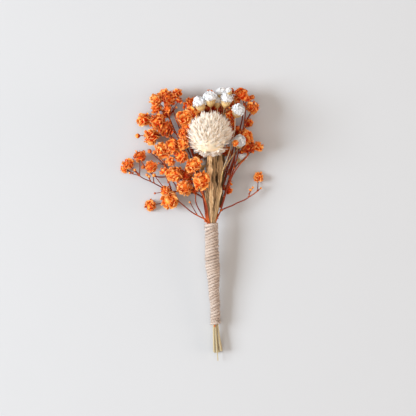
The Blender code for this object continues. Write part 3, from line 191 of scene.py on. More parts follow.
# Gypsophila sprays: place in the binding, the way of the stem, its branches, and the blooms. A bloom has the
# place that its stalk springs from, its own place, its radius, how far it is turned up, its tone from deep
# red to light orange, and its side lobes: how far each stands off in x and y, and its radius.
SPRAYS = {
    "gypsophila_left": (
        210, ((7.5, 2.6, 7.2), (6.8, 8, 7.1), (6.2, 14.2, 6.9)),
        (
            ((6.4, 12.8, 6.95), (3.6, 15.0, 6.8), (-4.0, 16.4, 6.4), (-11.0, 17.2, 5.2), (-19.0, 21.0, 4.2),
             (-26.4, 24.8, 3.6), (-28.9, 27.2, 3.0)),
            ((7.45, 2.6, 7.2), (3.4, 4.4, 7.0), (-1.0, 7.2, 6.6), (-7.4, 12.6, 5.4)),
            ((-10.4, 17.2, 5.3), (-12.0, 24.0, 6.4), (-12.9, 29.8, 7.0), (-15.2, 33.0, 7.0)),
            ((2.0, 15.5, 6.8), (-1.6, 20.0, 7.6), (-5.2, 22.6, 8.2)),
            ((-12.0, 24.2, 6.4), (-18.0, 24.4, 5.2), (-21.8, 27.2, 4.6), (-25.4, 31.8, 4.4)),
            ((-7.0, 16.6, 5.8), (-8.6, 20.6, 6.0), (-11.4, 23.8, 6.3)),
        ),
        (
            ((-28.9, 27.2, 3.0), (-32.0, 30.6, 3.2), 2.3, 0.5, 0.5, ((2.1, 1.7, 0.9), (-1.2, -0.6, 1.4))),
            ((-29.6, 26.2, 3.0), (-34.15, 28.3, 1.3), 1.75, 0.9, 0.62, ()),
            ((-26.4, 24.8, 3.6), (-26.1, 34.7, 4.6), 2.5, 0.6, 0.45, ((1.9, 1.4, 1.0), (-0.8, -2.0, 1.1))),
            ((-26.9, 25.6, 3.6), (-28.6, 27.7, 5.0), 0.7, 0.6, 0.45, ()),
            ((-26.4, 24.8, 3.6), (-31.3, 26.2, 3.0), 0.6, 0.3, 0.7, ()),
            ((-19.0, 21.0, 4.2), (-20.4, 29.2, 5.4), 2.5, 0.7, 0.62, ((1.9, -0.6, 1.2), (-1.6, 1.2, 1.2))),
            ((-14.2, 18.8, 4.8), (-18.9, 25.0, 5.6), 1.0, 0.7, 0.5, ()),
            ((-20.8, 22.0, 4.2), (-22.5, 25.2, 5.0), 0.8, 0.7, 0.4, ()),
            ((-20.8, 22.0, 4.2), (-21.4, 24.4, 5.2), 0.7, 0.7, 0.5, ()),
            ((-22.8, 28.4, 4.6), (-24.6, 29.0, 5.4), 1.0, 0.9, 0.2, ()),
            ((-11.7, 21.0, 5.9), (-14.0, 27.1, 7.0), 1.75, 0.5, 0.7, ()),
            ((-13.6, 31.5, 7.0), (-14.5, 37.2, 7.6), 3.4, 0.9, 0.85,
             ((2.2, 3.0, 1.5), (-0.2, -3.0, 1.4), (-2.6, 1.2, 1.4), (2.4, -0.6, 1.3))),
            ((-13.4, 30.0, 6.9), (-21.15, 37.0, 6.2), 1.15, 0.7, 0.3, ()),
            ((-13.2, 29.0, 6.8), (-18.7, 36.5, 6.4), 1.05, 0.7, 0.35, ()),
            ((-7.4, 12.6, 5.4), (-11.2, 12.3, 5.4), 3.6, 1.6, 1.0,
             ((3.0, -1.2, 0.9), (0.0, -2.9, 1.5), (-2.5, 2.7, 1.4), (2.2, 2.6, 1.4), (-2.4, -1.4, 1.3))),
            ((-10.0, 17.0, 5.4), (-13.2, 17.4, 5.8), 2.0, 1.0, 0.8, ((1.9, 1.2, 1.1),)),
            ((-7.8, 12.8, 5.4), (-21.0, 9.7, 1.6), 2.3, 1.3, 0.5, ((0.8, -1.2, 1.2), (-1.0, 1.0, 1.2))),
            ((-11.0, 17.2, 5.2), (-18.6, 15.9, 4.2), 0.55, 0.3, 0.2, ()),
            ((-3.0, 16.0, 6.4), (-3.5, 18.3, 8.4), 3.0, 0.3, 0.8,
             ((-2.4, 1.2, 1.4), (0.8, -2.7, 1.4), (2.2, 0.6, 1.3))),
            ((2.6, 15.3, 6.8), (1.7, 17.6, 8.0), 1.6, 0.5, 0.15, ()),
            ((-1.6, 20.0, 7.6), (-2.5, 24.9, 8.6), 2.8, 0.8, 0.1, ((-1.2, -1.8, 1.3),)),
            ((-1.6, 20.0, 7.6), (-0.7, 26.6, 9.4), 1.6, 0.8, 0.9, ()),
            ((-5.2, 22.6, 8.2), (-8.5, 25.4, 9.4), 3.3, 1.1, 0.7,
             ((2.6, 2.4, 1.3), (2.2, -3.0, 1.3), (-2.0, 2.0, 1.4))),
            ((-1.6, 20.0, 7.6), (-0.6, 21.8, 8.4), 1.4, 0.8, 0.1, ()),
            ((2.6, 5.2, 6.95), (-0.9, 11.4, 7.8), 0.55, 0.3, 0.4, ()),
            ((-13.4, 30.0, 6.9), (-16.5, 31.0, 7.4), 0.5, 0.3, 0.3, ()),
        ),
    ),
    "gypsophila_upper_left": (
        180, ((7.2, 4, 8.45), (6.1, 12, 9.0), (3.2, 22, 9.4), (-1.5, 33, 9.4), (-7.0, 44, 8.8),
              (-10.5, 52, 8.2), (-12.6, 57.6, 7.8)),
        (
            ((-5.6, 41.5, 8.9), (-9.2, 43.2, 8.4), (-13.8, 45.4, 7.0)),
            ((-8.0, 46.2, 8.7), (-14.8, 50.0, 7.4), (-19.4, 51.4, 5.4)),
            ((4.6, 18, 8.6), (1.8, 28, 8.6), (-2.0, 38, 8.2), (-5.2, 46, 8.0), (-8.2, 54, 7.6),
             (-9.6, 59.0, 7.6)),
            ((5.2, 20, 7.8), (2.6, 30, 7.6), (-0.6, 39, 7.4), (-3.4, 46, 7.2)),
        ),
        (
            ((-1.5, 33, 9.4), (-5.1, 34.2, 11.6), 2.7, 1.0, 0.45, ((-2.9, 1.5, 1.3), (1.2, -1.6, 1.4))),
            ((-4.0, 38, 9.1), (-4.3, 40.7, 12.4), 2.4, 1.2, 0.8, ((1.0, 1.6, 1.2),)),
            ((-4.6, 39.4, 9.0), (-9.5, 39.6, 11.0), 3.0, 1.1, 0.5, ((-1.2, -3.2, 1.4), (2.0, -1.7, 1.4))),
            ((-4.2, 38.4, 9.1), (-10.4, 32.0, 10.0), 2.0, 0.2, 0.6, ((0.4, -1.2, 1.1),)),
            ((-9.2, 43.2, 8.4), (-12.8, 48.2, 9.4), 3.0, 1.0, 0.2,
             ((1.2, 2.7, 1.5), (0.6, -2.7, 1.4), (-2.0, -0.8, 1.4))),
            ((-13.8, 45.4, 7.0), (-20.05, 44.2, 5.4), 3.1, 0.3, 0.85,
             ((-2.8, -1.6, 1.3), (3.0, 0.7, 1.4), (-0.7, -2.3, 1.3), (-1.2, 2.0, 1.4))),
            ((-13.8, 45.4, 7.0), (-27.2, 44.9, 4.0), 1.25, 0.3, 0.35, ()),
            ((-14.8, 50.0, 7.4), (-17.0, 51.9, 8.6), 3.1, 1.3, 0.4,
             ((2.6, 1.8, 1.4), (-2.7, 1.5, 1.3), (-1.2, -2.9, 1.4))),
            ((-19.4, 51.4, 5.4), (-24.3, 53.1, 3.4), 2.9, 0.7, 0.75,
             ((2.0, 2.3, 1.2), (-1.7, -2.0, 1.2), (2.8, 0.6, 1.1), (-1.6, 1.4, 1.3))),
            ((-12.6, 57.6, 7.8), (-17.5, 62.5, 7.6), 2.7, 0.7, 0.75, ((1.2, 2.2, 1.3), (-1.4, 0.2, 1.4))),
            ((-12.6, 57.6, 7.8), (-13.8, 66.1, 7.4), 2.0, 0.4, 0.7, ()),
            ((-12.6, 57.6, 7.8), (-11.8, 63.2, 9.4), 2.7, 1.3, 0.3,
             ((2.2, -2.0, 1.3), (-0.5, -2.5, 1.4), (-1.8, 1.2, 1.3))),
            ((-12.2, 56.8, 7.9), (-9.3, 64.7, 8.4), 2.3, 0.7, 0.35, ()),
            ((-12.0, 56.0, 7.9), (-7.1, 66.3, 8.8), 1.8, 0.1, 0.6, ((0.1, 1.1, 1.0),)),
            ((-11.4, 54.6, 8.0), (-6.25, 62.2, 10.2), 1.55, 0.1, 0.1, ()),
            ((-12.0, 56.0, 7.9), (-17.6, 58.3, 6.6), 2.3, 0.6, 0.7, ((-1.6, 0.5, 1.2), (1.5, 1.0, 1.2))),
            ((-12.6, 57.6, 7.8), (-12.0, 58.3, 9.8), 1.6, 1.2, 0.35, ((-0.4, -1.8, 1.2),)),
            ((-11.4, 54.6, 8.0), (-7.6, 58.9, 8.4), 0.6, 0.5, 0.8, ()),
            ((-10.5, 52, 8.2), (-13.0, 56.6, 1.7), 2.0, 0.3, 0.2, ()),
        ),
    ),
    "gypsophila_upper_middle": (
        150, ((7.6, 4, 9.95), (6.7, 12, 10.4), (4.6, 22, 10.2), (1.2, 33, 10.4), (-1.7, 42, 9.6),
              (-2.6, 47.5, 9.0)),
        (
            ((-2.6, 47.0, 9.0), (-2.2, 52.4, 8.6), (-1.2, 57.0, 8.0)),
            ((4.4, 24, 9.4), (1.0, 35, 9.2), (-1.6, 44, 8.8), (-6.4, 50.4, 8.4), (-8.4, 54.0, 8.2)),
        ),
        (
            ((-2.4, 46.6, 9.1), (-2.7, 48.6, 10.6), 2.0, 0.6, 0.6, ((1.0, -1.6, 1.1),)),
            ((-2.5, 49.0, 8.9), (-3.6, 53.5, 10.0), 3.2, 0.8, 0.65,
             ((-2.5, 1.7, 1.5), (-1.0, -3.2, 1.4), (1.5, -2.0, 1.4), (0.6, 2.4, 1.4))),
            ((-2.2, 52.4, 8.6), (0.6, 56.3, 8.4), 2.9, 0.6, 0.85,
             ((2.1, 1.0, 1.3), (1.8, -2.4, 1.4), (-0.2, -4.0, 1.3))),
            ((-1.2, 57.0, 8.0), (-0.8, 61.6, 8.4), 1.9, 0.6, 0.4, ((-2.2, -1.6, 1.5), (0.4, 0.8, 1.1))),
            ((-1.7, 42, 9.6), (-4.1, 46.0, 9.8), 2.2, 0.7, 0.5, ((-1.5, 0.2, 1.2), (0.8, -1.6, 1.3))),
            ((-1.4, 41, 9.6), (-3.2, 43.6, 10.6), 1.6, 0.7, 0.4, ()),
        ),
    ),
    "gypsophila_front": (
        120, ((8.3, 4, 10.9), (6.9, 12, 11.9), (4.8, 17.0, 12.6)),
        (
            ((4.8, 17.0, 12.6), (2.8, 22.0, 12.6), (1.4, 26.6, 12.8)),
            ((7.2, 1.6, 9.6), (5.2, 5.0, 10.4), (2.2, 11.2, 11.2), (2.0, 15.6, 12.2)),
        ),
        (
            ((4.8, 17.0, 12.6), (4.9, 22.0, 14.6), 3.6, 1.3, 0.7,
             ((2.4, 1.5, 1.5), (-1.8, -2.8, 1.5), (0.8, -3.5, 1.4), (2.3, -1.6, 1.4), (-2.2, 1.6, 1.4))),
            ((1.4, 26.6, 12.8), (0.9, 29.7, 14.4), 3.2, 0.9, 0.75,
             ((1.4, 2.3, 1.5), (-1.5, -1.9, 1.5), (2.3, 0.2, 1.3), (-1.6, 1.4, 1.4))),
            ((5.6, 15.2, 12.4), (2.6, 18.0, 13.8), 0.7, 0.6, 0.4, ()),
        ),
    ),
    "gypsophila_right": (
        0, ((13.0, 4, 8.3), (14.7, 7.4, 8.3)),
        (
            ((14.7, 7.4, 8.3), (21.6, 10.4, 6.8), (28.6, 13.8, 4.8), (33.2, 17.0, 3.2)),
            ((14.5, 7.0, 8.3), (16.6, 14.0, 8.9), (18.6, 20.8, 9.1), (24.2, 30.4, 9.2), (27.8, 34.2, 8.0)),
            ((19.0, 22.4, 9.1), (22.6, 33.0, 8.6), (24.2, 40.0, 8.2), (25.8, 47.4, 8.4), (27.4, 52.6, 8.8)),
            ((25.6, 46.8, 8.4), (26.8, 54.0, 9.2), (27.0, 60.0, 9.6)),
            ((24.2, 42.0, 8.2), (22.2, 46.5, 7.0), (20.4, 49.8, 7.2)),
            ((12.6, 3.0, 8.2), (13.1, 10, 8.0), (14.4, 17.5, 7.6), (16.2, 24.5, 7.2), (18.0, 31, 7.0),
             (19.6, 38.0, 7.0)),
            ((12.8, 5.0, 8.0), (13.6, 12, 7.2), (15.2, 19, 6.6), (17.6, 26.5, 6.2), (19.9, 33.5, 6.2),
             (21.4, 41.5, 6.6)),
            ((14.4, 8.6, 7.8), (16.4, 15.5, 7.2), (19.0, 24, 7.2), (20.9, 31, 7.2), (22.6, 38.5, 7.4)),
            ((16.4, 14.0, 8.6), (18.6, 21.5, 8.2), (22.4, 29.5, 8.0), (26.4, 33.4, 7.6), (28.8, 35.6, 7.6)),
            ((18.6, 25.0, 8.2), (21.2, 33.0, 8.0), (23.2, 38.6, 7.8), (25.6, 44.0, 8.0)),
            ((26.6, 50.2, 8.8), (29.0, 54.6, 9.0), (31.0, 56.6, 9.2)),
            ((13.2, 9.0, 7.8), (14.5, 16.5, 7.0), (16.7, 24, 6.6), (18.8, 31, 6.6), (20.6, 38, 6.8)),
            ((14.6, 16.0, 7.4), (17.0, 23, 7.6), (19.8, 30, 7.8), (21.9, 36, 8.0)),
            ((24.0, 46.6, 8.0), (25.4, 54.0, 8.6), (26.0, 61.0, 9.2)),
        ),
        (
            ((33.2, 17.0, 3.2), (33.8, 24.0, 1.9), 2.2, 1.3, 0.75, ((1.3, -0.5, 0.8), (-1.0, 0.9, 1.2))),
            ((28.6, 13.8, 4.8), (29.6, 17.6, 5.6), 0.8, 0.7, 0.5, ()),
            ((28.8, 15.4, 5.0), (30.8, 18.8, 5.0), 0.65, 0.7, 0.5, ()),
            ((33.2, 17.0, 3.2), (34.9, 18.5, 3.6), 0.55, 0.2, 0.7, ()),
            ((17.0, 15.5, 8.4), (18.6, 17.4, 6.0), 1.7, 0.3, 0.3,
             ((0.5, 3.0, 1.4), (1.0, 4.8, 0.9), (0.2, -0.9, 1.1))),
            ((15.4, 15.5, 7.2), (15.5, 18.4, 5.4), 1.4, 0.3, 0.0, ((-0.2, 2.0, 1.2),)),
            ((28.0, 34.6, 8.0), (28.9, 38.7, 7.6), 2.8, 0.2, 0.2, ((1.7, 1.1, 1.3), (-2.4, -0.5, 1.4))),
            ((28.0, 35.2, 8.0), (33.8, 39.4, 6.4), 2.1, 0.7, 0.8, ()),
            ((28.0, 35.6, 8.0), (30.3, 42.0, 7.2), 0.95, 0.5, 0.3, ()),
            ((24.4, 42.0, 8.2), (26.8, 44.4, 8.0), 3.1, 0.8, 0.4,
             ((-2.2, 1.5, 1.5), (2.0, -1.8, 1.3), (0.5, 2.1, 1.4), (2.0, 0.4, 1.4))),
            ((22.4, 46.0, 7.0), (22.5, 47.4, 5.6), 2.0, 0.2, 0.25, ((-1.6, -2.4, 1.5),)),
            ((20.4, 49.8, 7.2), (19.8, 51.4, 8.0), 1.8, 0.6, 0.15, ((0.5, -1.8, 1.1),)),
            ((20.4, 49.8, 7.2), (19.6, 55.6, 8.4), 2.4, 0.4, 0.55, ((0.1, -2.4, 1.3), (-0.8, 2.0, 1.2))),
            ((28.6, 54.0, 8.9), (30.5, 58.8, 9.4), 2.7, 0.7, 0.45, ((-1.2, 1.6, 1.3), (1.5, 1.2, 1.3))),
            ((26.6, 60.0, 9.6), (24.8, 65.0, 10.2), 2.95, 0.9, 0.35, ((-2.0, -1.6, 1.4), (1.6, 1.4, 1.3))),
            ((26.6, 60.0, 9.6), (28.0, 63.2, 10.6), 1.75, 0.7, 0.4, ()),
            ((26.5, 57.0, 9.4), (30.45, 64.0, 9.0), 1.2, 0.5, 0.3, ()),
            ((21.4, 28.2, 9.15), (21.9, 40.4, 18.6), 1.4, 0.8, 0.6, ()),
            ((25.6, 46.8, 8.4), (28.6, 51.6, 1.7), 2.0, 0.3, 0.2, ()),
            ((21.4, 41.5, 6.6), (20.8, 44.2, 7.4), 1.6, 0.4, 0.1, ()),
            ((23.2, 36.0, 7.8), (25.0, 36.6, 6.8), 1.1, 0.4, 0.1, ()),
        ),
    ),
    # The back spray lies under the others; its blooms' low tones are partly their own deeper colour and
    # partly painted shade.
    "gypsophila_back": (
        270, ((10.1, 8, 5.2), (10.4, 16, 4.0), (10.2, 30, 2.9), (9.8, 45, 2.6), (9.9, 54, 3.4)),
        (
            ((9.8, 45, 2.6), (13.6, 52.5, 2.9), (18.0, 58.0, 3.6)),
            ((9.8, 46, 2.6), (5.4, 53.0, 2.9), (2.8, 58.4, 3.2)),
        ),
        (
            ((10.4, 16, 4.0), (9.6, 23.5, 1.4), 2.2, 0.9, 0.3, ()),
            ((10.2, 26, 3.2), (3.6, 33.6, 1.4), 2.2, 1.3, 0.3, ()),
            ((10.2, 30, 2.9), (16.8, 37.4, 1.5), 2.3, 1.1, 0.2, ()),
            ((10.0, 36, 2.8), (2.4, 42.6, 1.6), 2.4, 0.9, 0.2, ()),
            ((9.8, 45, 2.6), (18.4, 47.6, 1.7), 2.4, 0.9, 0.1, ()),
            ((9.9, 54, 3.4), (9.4, 58.8, 4.6), 2.5, 0.6, 0.0, ()),
            ((9.9, 54, 3.4), (9.2, 65.2, 8.4), 2.0, 0.4, 0.3, ()),
            ((13.6, 52.5, 2.9), (14.0, 57.6, 4.6), 2.5, 0.5, 0.0, ()),
            ((18.0, 58.0, 3.6), (19.3, 66.8, 8.6), 1.8, 0.3, 0.2, ()),
            ((18.0, 58.0, 3.6), (21.2, 60.5, 4.6), 2.5, 0.5, 0.45, ()),
            ((5.4, 53.0, 2.9), (4.6, 57.6, 5.0), 2.6, 0.6, 0.1, ()),
            ((2.8, 58.4, 3.2), (1.6, 62.6, 3.2), 1.9, 0.3, 0.3, ()),
        ),
    ),
}

# Colours of the light: the window on the left, the ceiling, the wall on the right and the room all round.
WINDOW_LIGHT, CEILING_LIGHT, WALL_LIGHT = (0.84, 0.93, 1.0), (1.0, 0.9, 0.8), (1.0, 0.86, 0.74)
ROOM_LIGHT = (1.0, 0.93, 0.86)

# The sockets of a mix node that hold colours. Its others hold numbers, vectors and rotations.
MIX_FIRST, MIX_SECOND, MIX_RESULT = 6, 7, 2


# Settings

def srgb(red, green, blue):
    """A colour given from 0 to 255, as the linear values that Blender works in."""
    return tuple((part / 255) ** 2.2 for part in (red, green, blue))


def colour_setting(name, description, red, green, blue):
    """A colour in a settings group."""
    return FloatVectorProperty(name=name, description=description, subtype="COLOR", size=3, min=0.0, max=1.0,
                               default=srgb(red, green, blue))


def length_setting(name, description, millimetres):
    """A length in a settings group, kept in metres."""
    return FloatProperty(name=name, description=description, unit="LENGTH", default=millimetres * MM,
                         min=0.0, precision=5)


def count_setting(name, description, count, least=0):
    """A number of like parts in a settings group."""
    return IntProperty(name=name, description=description, default=count, min=least)


def ratio_setting(name, description, ratio, least=0.0, most=1.0):
    """A plain ratio in a settings group."""
    return FloatProperty(name=name, description=description, default=ratio, min=least, max=most)


def angle_setting(name, description, degrees):
    """An angle in a settings group, kept in radians."""
    return FloatProperty(name=name, description=description, default=math.radians(degrees), subtype="ANGLE")


def power_setting(name, description, watts):
    """The power of a light in a settings group."""
    return FloatProperty(name=name, description=description, default=watts, min=0.0, unit="POWER")


class BouquetTwineSettings(bpy.types.PropertyGroup):
    """Sizes and colours of the twine."""
    pitch: length_setting("Pitch", "Distance from one turn of the twine to the next", 1.5)
    half_width: length_setting("Half width", "Half the width of the flattened twine", 0.76)
    half_height: length_setting("Half height", "Half the height of the flattened twine", 0.68)
    ply_length: length_setting("Ply length", "Length of twine in which its plies turn once", 4.4)
    lean: ratio_setting("Lean", "Rise of a turn over its width", 0.4)
    fibres: count_setting("Loose fibres", "Number of fibres that stand off", 2800)
    light: colour_setting("Lit twine", "Colour of the outer fibres", 213, 195, 182)
    # The colour of painted shade on the twine: between the plies, at the edges of the turns, at the loose
    # turn, in spots away from the window and on the sleeve.
    dark: colour_setting("Grooves", "Colour between the plies", 98, 64, 50)


class BouquetStemSettings(bpy.types.PropertyGroup):
    """Sizes and colours of the dry tan stems."""
    core_radius: length_setting("Core radius", "Radius of a stem where it is round", 0.42)
    wing_thickness: length_setting("Wing thickness", "Half the thickness of the papery wings", 0.07)
    hairs: count_setting("Hairs on a stem", "Number of hairs on each stem", 160)
    light: colour_setting("Lit wings", "Colour of the papery wings", 242, 210, 168)
    # Painted shade in the rib troughs and the hollow cut ends, and the stems' own colour in the furrows,
    # flecks and dry nodes.
    dark: colour_setting("Grooves", "Colour of ribs and dry nodes", 84, 58, 36)
    straw: colour_setting("Straw ends", "Colour of the cut ends below the twine", 214, 202, 166)


class BouquetGlobeSettings(bpy.types.PropertyGroup):
    """Sizes and colours of the globe head."""
    bracts: count_setting("Bracts", "Number of pointed bracts", 430, 50)
    bristles: count_setting("Bristles", "Number of slim bracts that stand further out", 220)
    rim: count_setting("Rim bracts", "Number of ruffled bracts round the base", 70)
    half_width: length_setting("Bract half width", "Half the width of a bract", 0.92)
    thickness: length_setting("Bract thickness", "Half the thickness of a bract", 0.05)
    light: colour_setting("Bract tips", "Colour of the papery tips", 248, 237, 227)
    warm: colour_setting("Bract roots", "Colour deep between the bracts", 251, 226, 190)


class BouquetEverlastingSettings(bpy.types.PropertyGroup):
    """Sizes and colours of the white everlastings."""
    bracts: count_setting("Bracts on a head", "Number of white bracts on one head", 40, 10)
    scales: count_setting("Scales on a cup", "Number of pointed scales on one golden cup", 46, 1)
    thickness: length_setting("Bract thickness", "Half the thickness of a bract", 0.045)
    stalk_radius: length_setting("Stalk radius", "Radius of a golden stalk", 0.27)
    white: colour_setting("White bracts", "Colour of the papery bracts", 252, 252, 253)
    golden: colour_setting("Golden cups", "Colour of the cups and stalks", 246, 206, 138)


class BouquetGypsophilaSettings(bpy.types.PropertyGroup):
    """Sizes and colours of the orange sprays."""
    petals: count_setting("Petals", "Number of petals on a bloom of 3 mm radius", 18, 5)
    petal_width: ratio_setting("Petal width", "Half a petal's width over its bloom's radius", 0.5, 0.05)
    fluff: ratio_setting("Fluff", "How far the petals stand out of a bloom's round form", 1.14, 0.5, 1.5)
    petal_thickness: length_setting("Petal thickness", "Half the thickness of a petal", 0.05)
    stem_radius: length_setting("Stem radius", "Radius of a spray's stem", 0.42)
    stalk_radius: length_setting("Stalk radius", "Radius of a bloom's stalk at its foot", 0.24)
    petal: colour_setting("Petals", "Colour of the petals", 253, 152, 60)
    petal_edge: colour_setting("Petal edges", "Colour of the lit edges", 253, 180, 108)
    # Painted shade deep in a bloom, at the roots of the petals and on the bloom's body.
    petal_root_shade: colour_setting("Petal roots", "Colour deep in a bloom", 200, 56, 8)
    stem: colour_setting("Stems", "Colour of the red-brown stems", 128, 50, 28)
    knuckle: colour_setting("Knuckles", "Colour of the swollen nodes", 222, 108, 48)


class BouquetStageSettings(bpy.types.PropertyGroup):
    """The table, the light and the camera."""
    view_width: length_setting("View width", "Width of the table that the picture covers", 208.0)
    view_x: length_setting("View centre x", "Middle of the picture across the bunch", 8.2)
    view_y: length_setting("View centre y", "Middle of the picture along the bunch", 8.5)
    lens: FloatProperty(name="Lens", description="Focal length in millimetres", default=120.0, unit="CAMERA")
    light_height: angle_setting("Light height", "Angle of the window light above the table", 31)
    light_distance: length_setting("Light distance", "Distance of the window and wall lights", 1800.0)
    light_width: length_setting("Light width", "Side of the square window and wall lights", 850.0)
    light_power: power_setting("Light power", "Power of the window light", 51.0)
    top_distance: length_setting("Top light distance", "Distance of the ceiling above the table", 1700.0)
    top_power: power_setting("Top light power", "Power of the light above", 16.5)
    wall_height: angle_setting("Wall height", "Angle of the light that the right wall returns", 15)
    wall_power: power_setting("Wall power", "Power of the wall light", 14.0)
    fill: ratio_setting("Fill", "Strength of the light from all round", 0.34)
    table: colour_setting("Table", "Colour of the table", 194, 194, 196)


# Shapes

Skin = namedtuple("Skin", "points quads corners growth")


def unit(vectors):
    """Vectors at length one, along the last axis."""
    vectors = np.asarray(vectors, dtype=float)
    return vectors / np.linalg.norm(vectors, axis=-1, keepdims=True)


def smooth_path(places, spacing):
    """Points at equal distances on a smooth curve through given points.

    Between two places the curve is a cubic whose slopes at its ends are the weighted mean of the steps there.
    """
    places = np.asarray(places, dtype=float)
    reached = np.concatenate(([0.0], np.cumsum(np.linalg.norm(np.diff(places, axis=0), axis=1))))
    slope = np.gradient(places, reached, axis=0)
    at = np.linspace(0.0, reached[-1], max(4, int(reached[-1] / spacing)))
    piece = np.clip(np.searchsorted(reached, at, side="right") - 1, 0, len(reached) - 2)
    step = (reached[piece + 1] - reached[piece])[:, None]
    share = (at - reached[piece])[:, None] / step
    return ((2 * share ** 3 - 3 * share ** 2 + 1) * places[piece]
            + (share ** 3 - 2 * share ** 2 + share) * step * slope[piece]
            + (3 * share ** 2 - 2 * share ** 3) * places[piece + 1]
            + (share ** 3 - share ** 2) * step * slope[piece + 1])


def arc_path(spring, bend, end, count):
    """Points on the quadratic curve that leaves spring towards bend and arrives at end."""
    share = np.linspace(0.0, 1.0, count)[:, None]
    return (1 - share) ** 2 * spring + 2 * share * (1 - share) * bend + share ** 2 * end


def path_frame(path, up=None):
    """Side and lift directions at each point of a path.

    Side is the tangent crossed with up, which is the axis least like the path where none is given.
    """
    tangent = unit(np.gradient(path, axis=0))
    if up is None:
        up = np.eye(3)[np.abs(tangent).max(axis=0).argmin()]
    side = unit(np.cross(tangent, up))
    return side, np.cross(side, tangent)


def angles_round(sides):
    """The angles of the points of a ring."""
    return np.arange(sides) * 2 * math.pi / sides


def spoke_at(angle):
    """The direction at an angle round the y axis, from x towards z. Several angles give several."""
    return np.stack((np.cos(angle), np.zeros(np.shape(angle)), np.sin(angle)), axis=-1)


def closed_skins(rings, along, across, tint, mark=0.0):
    """Closed skins from rings of points, given as [skin, ring, step].

    Quads join neighbouring rings, and a point in the middle of the first and the last ring closes the ends.
    Steps run from a ring's side towards its lift, so faces point outwards. The other values are read by the
    finishes: how far along a blade or stem a point is, how far across, its tint, and how much of a mark it
    has.
    """
    count, rows, steps, _ = rings.shape
    growth = np.stack(np.broadcast_arrays(along, across, tint, mark, rings[..., 0])[:4], axis=-1)

    def with_ends(values):
        middles = values[:, [0, -1]].mean(axis=2)
        filled = np.concatenate((values.reshape(count, rows * steps, -1), middles), axis=1)
        return filled.reshape(count * (rows * steps + 2), -1)

    step = np.arange(steps)
    after = (step + 1) % steps
    low = np.arange(rows - 1)[:, None] * steps
    quads = np.stack((low + step, low + steps + step, low + steps + after, low + after), axis=-1)
    first, last = np.full(steps, rows * steps), np.full(steps, rows * steps + 1)
    top = (rows - 1) * steps
    corners = np.concatenate((np.stack((first, step, after), axis=-1),
                              np.stack((last, top + after, top + step), axis=-1)))
    offset = np.arange(count)[:, None, None] * (rows * steps + 2)
    return Skin(with_ends(rings), (quads.reshape(1, -1, 4) + offset).reshape(-1, 4),
                (corners[None] + offset).reshape(-1, 3), with_ends(growth))


def tube(path, wide, high, tint, sides=6, up=None, swell=1.0, cup=0.0, along=None, mark=0.0, bore=0.0):
    """A section carried along a path.

    A point stands wide times the cosine of its angle to the side, and high times the sine plus cup times wide
    times the cosine squared along the lift. Swell scales each point. A bore is a blind hole in the first end,
    as a share of the radius.
    """
    count = len(path)
    side, lift = path_frame(path, up)
    angle = angles_round(sides)
    wide = np.broadcast_to(wide, count)[:, None]
    high = np.broadcast_to(high, count)[:, None]
    sideways = wide * np.cos(angle) * swell
    upwards = high * np.sin(angle) * swell + cup * wide * np.cos(angle) ** 2
    rings = path[:, None] + sideways[..., None] * side[:, None] + upwards[..., None] * lift[:, None]
    along = np.broadcast_to(np.linspace(0, 1, count) if along is None else along, count)
    mark = np.broadcast_to(mark, (count, sides))
    # The inside of the hole is all mark, which with a dark accent paints shade in it.
    if bore:
        inner = path[[2, 0], None] + bore * (rings[[2, 0]] - path[[2, 0], None])
        rings = np.concatenate((inner, rings))
        mark = np.concatenate((np.ones((2, sides)), mark))
        along = np.concatenate((along[[0, 0]], along))
        tint = tint if np.ndim(tint) == 0 else np.concatenate((tint[[0, 0]], tint))
    tint = tint if np.ndim(tint) == 0 else tint[:, None]
    return closed_skins(rings[None], along[:, None], np.cos(angle), tint, mark)


def blades(root, bend, tip, face, half_width, outline, thickness, tint, cup=0.0, ruffle=0.0, notch=0.0,
           phase=0.0, steps=8):
    """Thin closed blades, such as petals and bracts, all worked out at once.

    The middle line is the quadratic curve from root over bend to tip. The outline's rows are a share of the
    length and a share of the width. A point stands half_width times width times the cosine of its angle to
    the side. Along the normal it has thickness times the sine, less where the blade is narrow, plus cup,
    which lifts the edges, plus ruffle, a wave across the blade that grows with the square of the share along
    it. Notch draws the middle of the tip back.
    """
    def per_blade(value):
        return np.broadcast_to(value, len(root))[:, None, None]

    share, width = np.asarray(outline, dtype=float).T
    share, width = share[None, :, None], width[None, :, None]
    root, bend, tip = root[:, None], bend[:, None], tip[:, None]
    middle = (1 - share) ** 2 * root + 2 * share * (1 - share) * bend + share ** 2 * tip
    tangent = unit((1 - share) * (bend - root) + share * (tip - bend))
    side = unit(np.cross(tip - root, face[:, None]))
    normal = unit(np.cross(side, tangent))
    angle = angles_round(steps)
    across = np.broadcast_to(np.cos(angle), (len(root), share.size, steps))
    length = np.linalg.norm(tip - root, axis=-1)[..., None]
    sideways = per_blade(half_width) * width * across
    thick = per_blade(thickness) * np.minimum(1.0, 1.6 * width) * np.sin(angle)
    lift = (thick + per_blade(cup) * per_blade(half_width) * width * across ** 2
            + per_blade(ruffle) * length * share ** 2 * np.sin(3.3 * across + per_blade(phase)))
    back = -per_blade(notch) * length * share ** 6 * (1 - across ** 2) ** 2
    rings = (middle[:, :, None] + sideways[..., None] * side[:, :, None]
             + lift[..., None] * normal[:, :, None] + back[..., None] * tangent[:, :, None])
    return closed_skins(rings, share, across, per_blade(tint))


